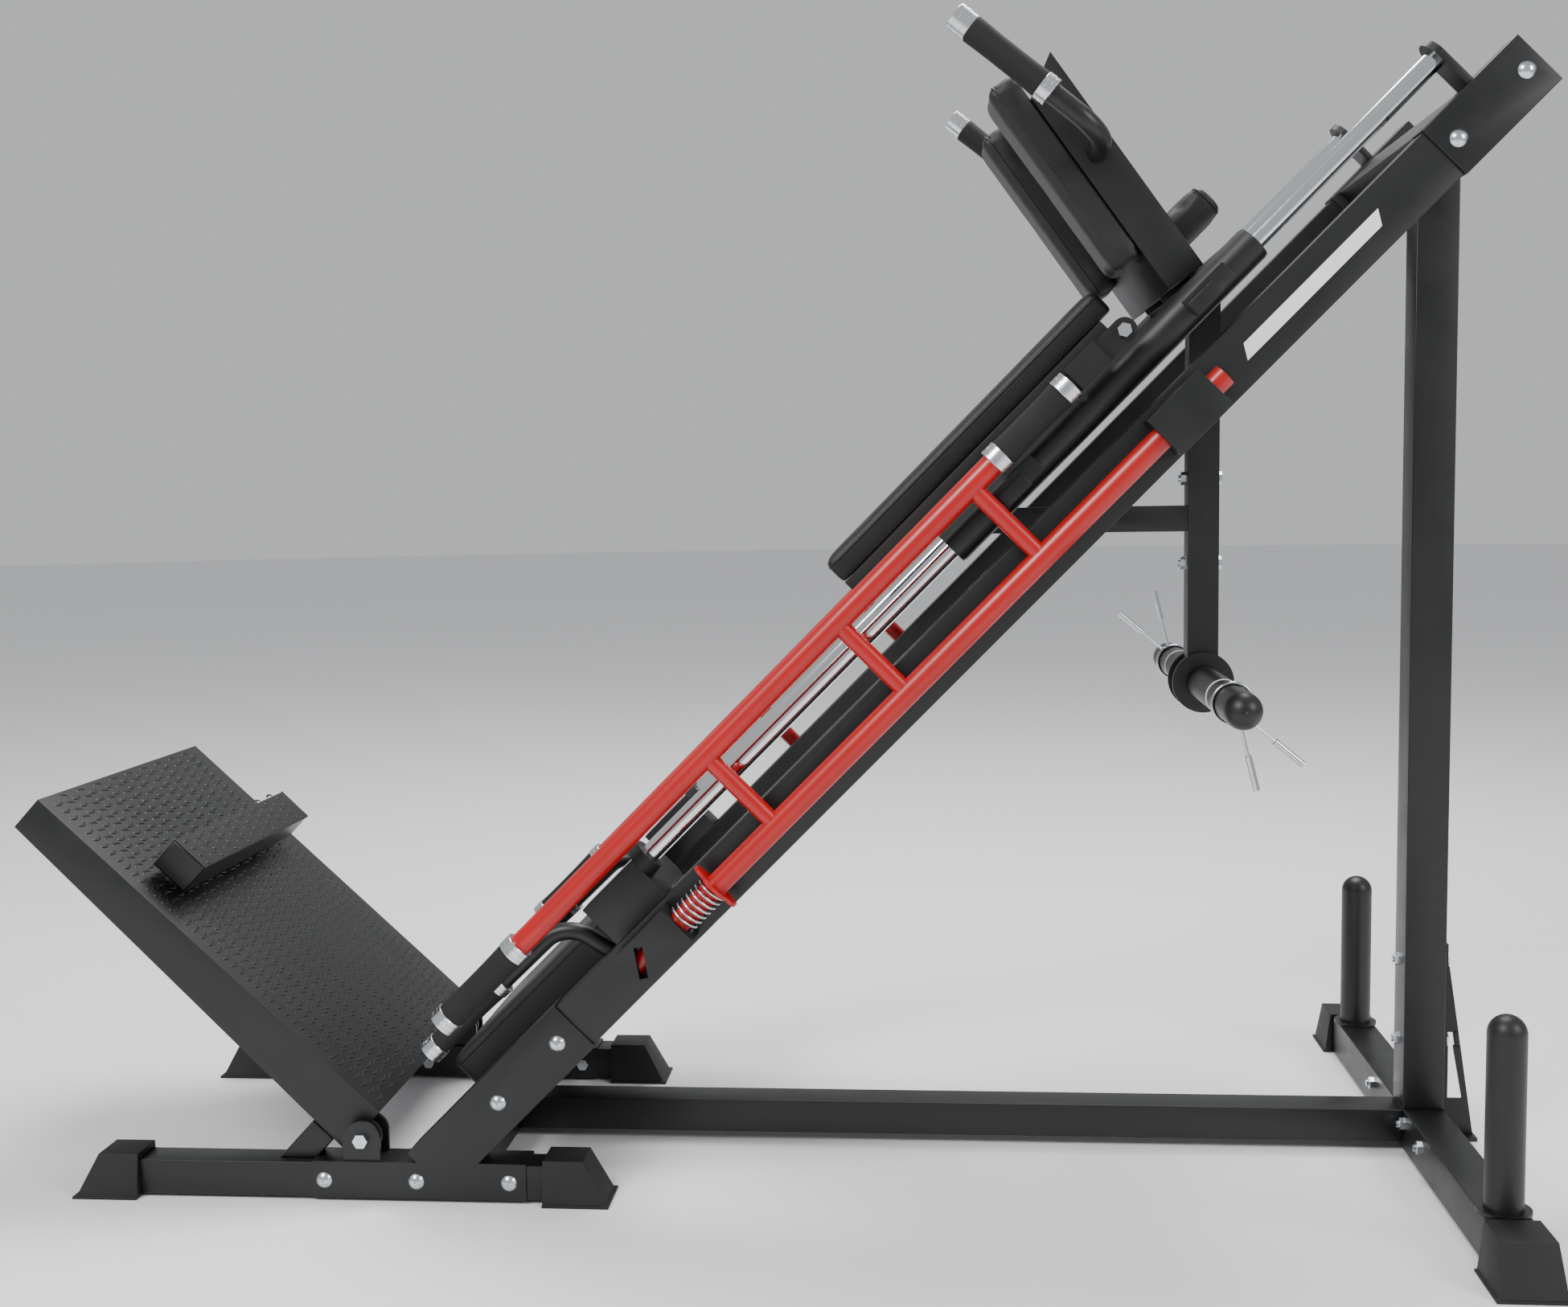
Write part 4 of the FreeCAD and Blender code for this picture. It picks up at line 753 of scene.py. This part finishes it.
@dataclass
class Tread:
    """Raised curved dashes in rows over the footplate and the block across it."""

    pivot: Vector = field(default_factory=lambda: Vector((-562 * MM, 0, 88 * MM)))
    long: float = 24 * MM
    wide: float = 4.0 * MM
    high: float = 1.2 * MM
    bow: float = 3.4 * MM
    pitch_across: float = 27 * MM
    pitch_up: float = 15 * MM

    def dash(self) -> bpy.types.Mesh:
        """One dash, lying across and bowed upwards, its base at height zero."""
        shape = bmesh.new()
        bmesh.ops.create_grid(shape, x_segments=6, y_segments=1, size=0.5)
        bmesh.ops.scale(shape, vec=(self.long, self.wide, 1), verts=shape.verts)
        raised = bmesh.ops.extrude_face_region(shape, geom=shape.faces[:])
        crown = [item for item in raised["geom"] if isinstance(item, bmesh.types.BMVert)]
        bmesh.ops.translate(shape, vec=(0, 0, self.high), verts=crown)
        bmesh.ops.scale(shape, vec=(0.9, 0.55, 1), verts=crown)
        for vertex in shape.verts:
            along = vertex.co.x / (self.long / 2)
            vertex.co.y += self.bow * (1 - along * along)
            if vertex.co.z > 0:
                vertex.co.z *= 1 - 0.45 * along ** 4
        bmesh.ops.recalc_face_normals(shape, faces=shape.faces)
        mesh = bpy.data.meshes.new("dash")
        shape.to_mesh(mesh)
        shape.free()
        return mesh

    def cover(self, name: str, stand: float, reach: float, begin: float, end: float) -> None:
        """Covers one face with dashes.

        Args:
            name: The piece's name.
            stand: How far the face stands from the hinge, square to the plate.
            reach: How far the dashes go to each side.
            begin: The lowest row's distance up the plate.
            end: The highest row's.
        """
        dash = self.dash()
        shape = bmesh.new()
        upright = Matrix(((0, 0, 1), (-1, 0, 0), (0, -1, 0))).to_4x4()
        plate = Matrix.Translation(self.pivot) @ Tilt.PLATE.matrix()
        rows = int((end - begin) / self.pitch_up) + 1
        columns = int(2 * reach / self.pitch_across)
        for row in range(rows):
            for column in range(columns):
                across = (column - (columns - 1) / 2) * self.pitch_across
                odd = column % 2
                flip = math.pi if odd else 0.0
                height = begin + (row + odd / 2) * self.pitch_up
                spot = Matrix.Translation((stand, across, height))
                turn = Matrix.Rotation(flip, 4, "X") @ upright
                count = len(shape.verts)
                shape.from_mesh(dash)
                shape.verts.ensure_lookup_table()
                bmesh.ops.transform(shape, matrix=plate @ spot @ turn, verts=shape.verts[count:])
        finish_piece(shape, name, "footplate_tilting", BLACK_POWDER)

    def build(self) -> None:
        """Covers the footplate's face and the block's face."""
        self.cover("footplate_tread", 40.9 * MM, 266 * MM, 24 * MM, 658 * MM)
        self.cover("calf_block_tread", 107.9 * MM, 214 * MM, 444 * MM, 490 * MM)


@dataclass
class Marks:
    """The pale bands round the weight horns and a plain stripe on the left rail."""

    horn: Vector = field(default_factory=lambda: Vector((652 * MM, 0, 709.5 * MM)))
    band: float = 228 * MM
    band_wide: float = 9 * MM
    rail_side: float = 297 * MM
    stripe_begin: float = 1660 * MM
    stripe_end: float = 1900 * MM
    stripe_wide: float = 20 * MM

    def build(self) -> None:
        """Makes both bands and the stripe."""
        shape = bmesh.new()
        half = self.band_wide / 2
        profile = [(24.9 * MM, -half), (25.15 * MM, -half + 0.2 * MM),
                   (25.15 * MM, half - 0.2 * MM), (24.9 * MM, half)]
        turn = Matrix.Rotation(math.radians(90), 4, "X")
        for side in (-1, 1):
            spot = self.horn + Vector((0, side * self.band, 0))
            lathe(profile, 48, Matrix.Translation(spot) @ turn, shape)
        finish_piece(shape, "horn_bands", "sled", WHITE_FILM)
        stripe = bmesh.new()
        bmesh.ops.create_cube(stripe, size=1.0)
        length = self.stripe_end - self.stripe_begin
        bmesh.ops.scale(stripe, vec=(length, 0.4 * MM, self.stripe_wide), verts=stripe.verts)
        for vertex in stripe.verts:
            vertex.co.x += 0.6 * vertex.co.z
        middle = Vector(((self.stripe_begin + self.stripe_end) / 2, -self.rail_side, 0))
        place = Matrix.Translation((-508 * MM, 0, 0)) @ Tilt.SLOPE.matrix()
        bmesh.ops.transform(stripe, matrix=place @ Matrix.Translation(middle),
                            verts=stripe.verts)
        finish_piece(stripe, "rail_stripe", "frame", WHITE_FILM)


@dataclass
class BraceWeb:
    """The thin web of the rear brace where it passes outside its lower bolt."""

    middle: Vector = field(default_factory=lambda: Vector((1034.5 * MM, 0, 165 * MM)))
    size: Vector = field(default_factory=lambda: Vector((8 * MM, 6 * MM, 24 * MM)))
    slant: float = -44 / 300

    def build(self) -> None:
        """Makes the short slanted run of web."""
        shape = bmesh.new()
        bmesh.ops.create_cube(shape, size=1.0)
        bmesh.ops.scale(shape, vec=self.size, verts=shape.verts)
        for vertex in shape.verts:
            vertex.co.x += self.slant * vertex.co.z
        bmesh.ops.translate(shape, vec=self.middle, verts=shape.verts)
        bmesh.ops.bevel(shape, geom=shape.edges[:], offset=0.4 * MM, segments=2, profile=0.5,
                        affect="EDGES", material=-1)
        finish_piece(shape, "post_gusset_web", "frame", BLACK_POWDER)


@dataclass
class Studio:
    """A pale floor, soft lights and the camera."""

    floor_radius: float = 30.0
    lens: float = 41.72
    yaw: float = 4.908
    pitch: float = 5.0146
    roll: float = -0.8024
    stand: Vector = field(default_factory=lambda: Vector((0.2626, -2.7508, 0.9962)))
    target: Vector = field(default_factory=lambda: Vector((0.0, 0.0, 0.7)))

    def floor(self) -> None:
        """The floor: a wide disc with a matt painted finish, faintly uneven."""
        shape = bmesh.new()
        bmesh.ops.create_circle(shape, cap_ends=True, segments=96, radius=self.floor_radius)
        mesh = bpy.data.meshes.new("studio_floor")
        shape.to_mesh(mesh)
        shape.free()
        disc = bpy.data.objects.new("studio_floor", mesh)
        bpy.context.scene.collection.objects.link(disc)
        paint = bpy.data.materials.new("Matt floor paint")
        paint.use_nodes = True
        tree = paint.node_tree
        place = add(tree, "ShaderNodeTexCoord").outputs["Object"]
        uneven = add(tree, "ShaderNodeTexNoise", {"Vector": place, "Scale": 1.2, "Detail": 3.0})
        gloss = add(tree, "ShaderNodeMapRange", {"Value": uneven.outputs["Fac"],
                                                 "To Min": 0.6, "To Max": 0.75})
        shader = tree.nodes["Principled BSDF"]
        tree.links.new(gloss.outputs["Result"], shader.inputs["Roughness"])
        shader.inputs["Base Color"].default_value = linear("#eeeeef")
        mesh.materials.append(paint)

    def light(self, name: str, place: Vector, size: float, power: float) -> None:
        """Adds one soft box that faces the machine.

        Args:
            name: The lamp's name.
            place: Where it stands.
            size: Its diameter, in metres.
            power: Its power, in watts.
        """
        lamp = bpy.data.lights.new(name, "AREA")
        lamp.shape = "DISK"
        lamp.size = size
        lamp.energy = power
        holder = bpy.data.objects.new(name, lamp)
        holder.location = place
        holder.rotation_euler = (self.target - place).to_track_quat("-Z", "Y").to_euler()
        bpy.context.scene.collection.objects.link(holder)

    def camera(self) -> None:
        """Sets the camera at eye height on the near side, turned and tipped a little."""
        yaw, pitch, roll = (math.radians(v) for v in (self.yaw, self.pitch, self.roll))
        ahead = Vector((-math.sin(yaw) * math.cos(pitch), math.cos(yaw) * math.cos(pitch),
                        -math.sin(pitch)))
        level = Vector((math.cos(yaw), math.sin(yaw), 0))
        above = level.cross(ahead)
        right = math.cos(roll) * level + math.sin(roll) * above
        up = math.cos(roll) * above - math.sin(roll) * level
        turn = Matrix((right, up, -ahead)).transposed().to_4x4()
        lens = bpy.data.cameras.new("camera")
        lens.lens = self.lens
        lens.sensor_width = 36.0
        lens.clip_end = 200.0
        holder = bpy.data.objects.new("camera", lens)
        holder.matrix_world = Matrix.Translation(self.stand) @ turn
        bpy.context.scene.collection.objects.link(holder)
        bpy.context.scene.camera = holder

    def build(self) -> None:
        """Sets up the whole studio."""
        world = bpy.data.worlds.new("pale studio")
        world.use_nodes = True
        sky = world.node_tree.nodes["Background"]
        sky.inputs["Color"].default_value = linear("#f4f6f8")
        sky.inputs["Strength"].default_value = 0.6
        bpy.context.scene.world = world
        self.floor()
        self.light("key", Vector((-2.6, -3.4, 4.4)), 2.4, 250.0)
        self.light("fill", Vector((3.6, -2.4, 2.6)), 2.0, 80.0)
        self.light("top", Vector((0.6, 1.4, 4.6)), 2.8, 230.0)
        self.camera()


PADS = (
    Pad("seat_pad", "frame", Tilt.SLOPE, Vector((0, 0, 1))),
    Pad("back_pad", "sled", Tilt.SLOPE, Vector((0, 0, 1))),
    Pad("shoulder_pad_left", "sled", Tilt.TRAY, Vector((-1, 0, 0)), corner=14 * MM),
    Pad("shoulder_pad_right", "sled", Tilt.TRAY, Vector((-1, 0, 0)), corner=14 * MM),
    Pad("head_pad", "sled", Tilt.SLOPE, Vector((1, 0, 0)), corner=12 * MM, seam_drop=11 * MM),
)
GRIPS = (
    Grips("ladder_grips_left", "ladder_swing_left", FOAM_RUBBER),
    Grips("ladder_grips_right", "ladder_swing_right", FOAM_RUBBER),
    Grips("ladder_collars_left", "ladder_swing_left", ALUMINIUM),
    Grips("ladder_collars_right", "ladder_swing_right", ALUMINIUM),
    Grips("push_handle_grips", "sled", FOAM_RUBBER),
    Grips("push_grip_collars", "sled", ALUMINIUM),
    Grips("seat_handle_grips", "frame", FOAM_RUBBER),
    Grips("seat_grip_collars", "frame", ALUMINIUM),
)
TUBE, PLATE, FINE, ROUND = 3.0 * MM, 1.4 * MM, 0.8 * MM, 0.0
STEEL = (
    Steel("frame", {
        "main_rail_left": (BLACK_POWDER, TUBE), "main_rail_right": (BLACK_POWDER, TUBE),
        "side_bracket_left": (BLACK_POWDER, PLATE), "side_bracket_right": (BLACK_POWDER, PLATE),
        "upright_post": (BLACK_POWDER, TUBE), "long_base_tube": (BLACK_POWDER, TUBE),
        "rear_base_tube": (BLACK_POWDER, TUBE), "front_cross_tube": (BLACK_POWDER, TUBE),
        "floor_rails": (BLACK_POWDER, TUBE), "crosshead": (BLACK_POWDER, PLATE),
        "footplate_props": (BLACK_POWDER, TUBE), "rod_feet": (BLACK_POWDER, TUBE),
        "ladder_bearings": (BLACK_POWDER, PLATE), "rod_top_brackets": (BLACK_POWDER, PLATE),
        "post_gusset": (BLACK_POWDER, ROUND), "seat_support": (BLACK_POWDER, FINE),
        "seat_board": (PLYWOOD, PLATE), "seat_handles": (BLACK_POWDER, ROUND),
        "storage_posts": (BLACK_POWDER, ROUND), "storage_post_caps": (BLACK_POWDER, ROUND),
        "floor_rail_boots": (MOULDED_RUBBER, PLATE), "rear_base_boots": (MOULDED_RUBBER, PLATE),
        "rod_bumpers": (MOULDED_RUBBER, ROUND), "guide_rods": (CHROME, ROUND),
        "frame_bolts": (ZINC, ROUND), "frame_nuts": (ZINC, ROUND),
        "hinge_pins": (ZINC, ROUND), "ladder_spring_left": (SPRING_STEEL, ROUND),
        "ladder_spring_right": (SPRING_STEEL, ROUND),
    }),
    Steel("sled", {
        "sled_frame": (BLACK_POWDER, TUBE), "sled_tubes": (BLACK_POWDER, ROUND),
        "shoulder_tray": (BLACK_POWDER, PLATE), "weight_hanger": (BLACK_POWDER, PLATE),
        "weight_horn": (BLACK_POWDER, ROUND), "horn_caps": (BLACK_POWDER, ROUND),
        "push_handles": (BLACK_POWDER, ROUND), "safety_hooks": (BLACK_POWDER, FINE),
        "back_board": (PLYWOOD, PLATE), "sled_bushes": (NYLON, ROUND),
        "hanger_bolts": (ZINC, ROUND),
    }),
    Steel("footplate_tilting", {
        "footplate": (BLACK_POWDER, PLATE), "footplate_frame": (BLACK_POWDER, TUBE),
        "calf_block": (BLACK_POWDER, TUBE),
    }),
    Steel("ladder_swing_left", {"ladder_left": (RED_POWDER, ROUND)}),
    Steel("ladder_swing_right", {"ladder_right": (RED_POWDER, ROUND)}),
    Steel("clip_left", {"spring_clip_left": (SPRING_STEEL, ROUND)}),
    Steel("clip_right", {"spring_clip_right": (SPRING_STEEL, ROUND)}),
)


def main() -> None:
    """Builds every piece in order."""
    logging.basicConfig(level=logging.INFO)
    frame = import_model()
    for group in (*STEEL, *GRIPS, *PADS):
        group.build(frame)
    Tread().build()
    Marks().build()
    BraceWeb().build()
    Studio().build()


if __name__ == "__main__":
    main()
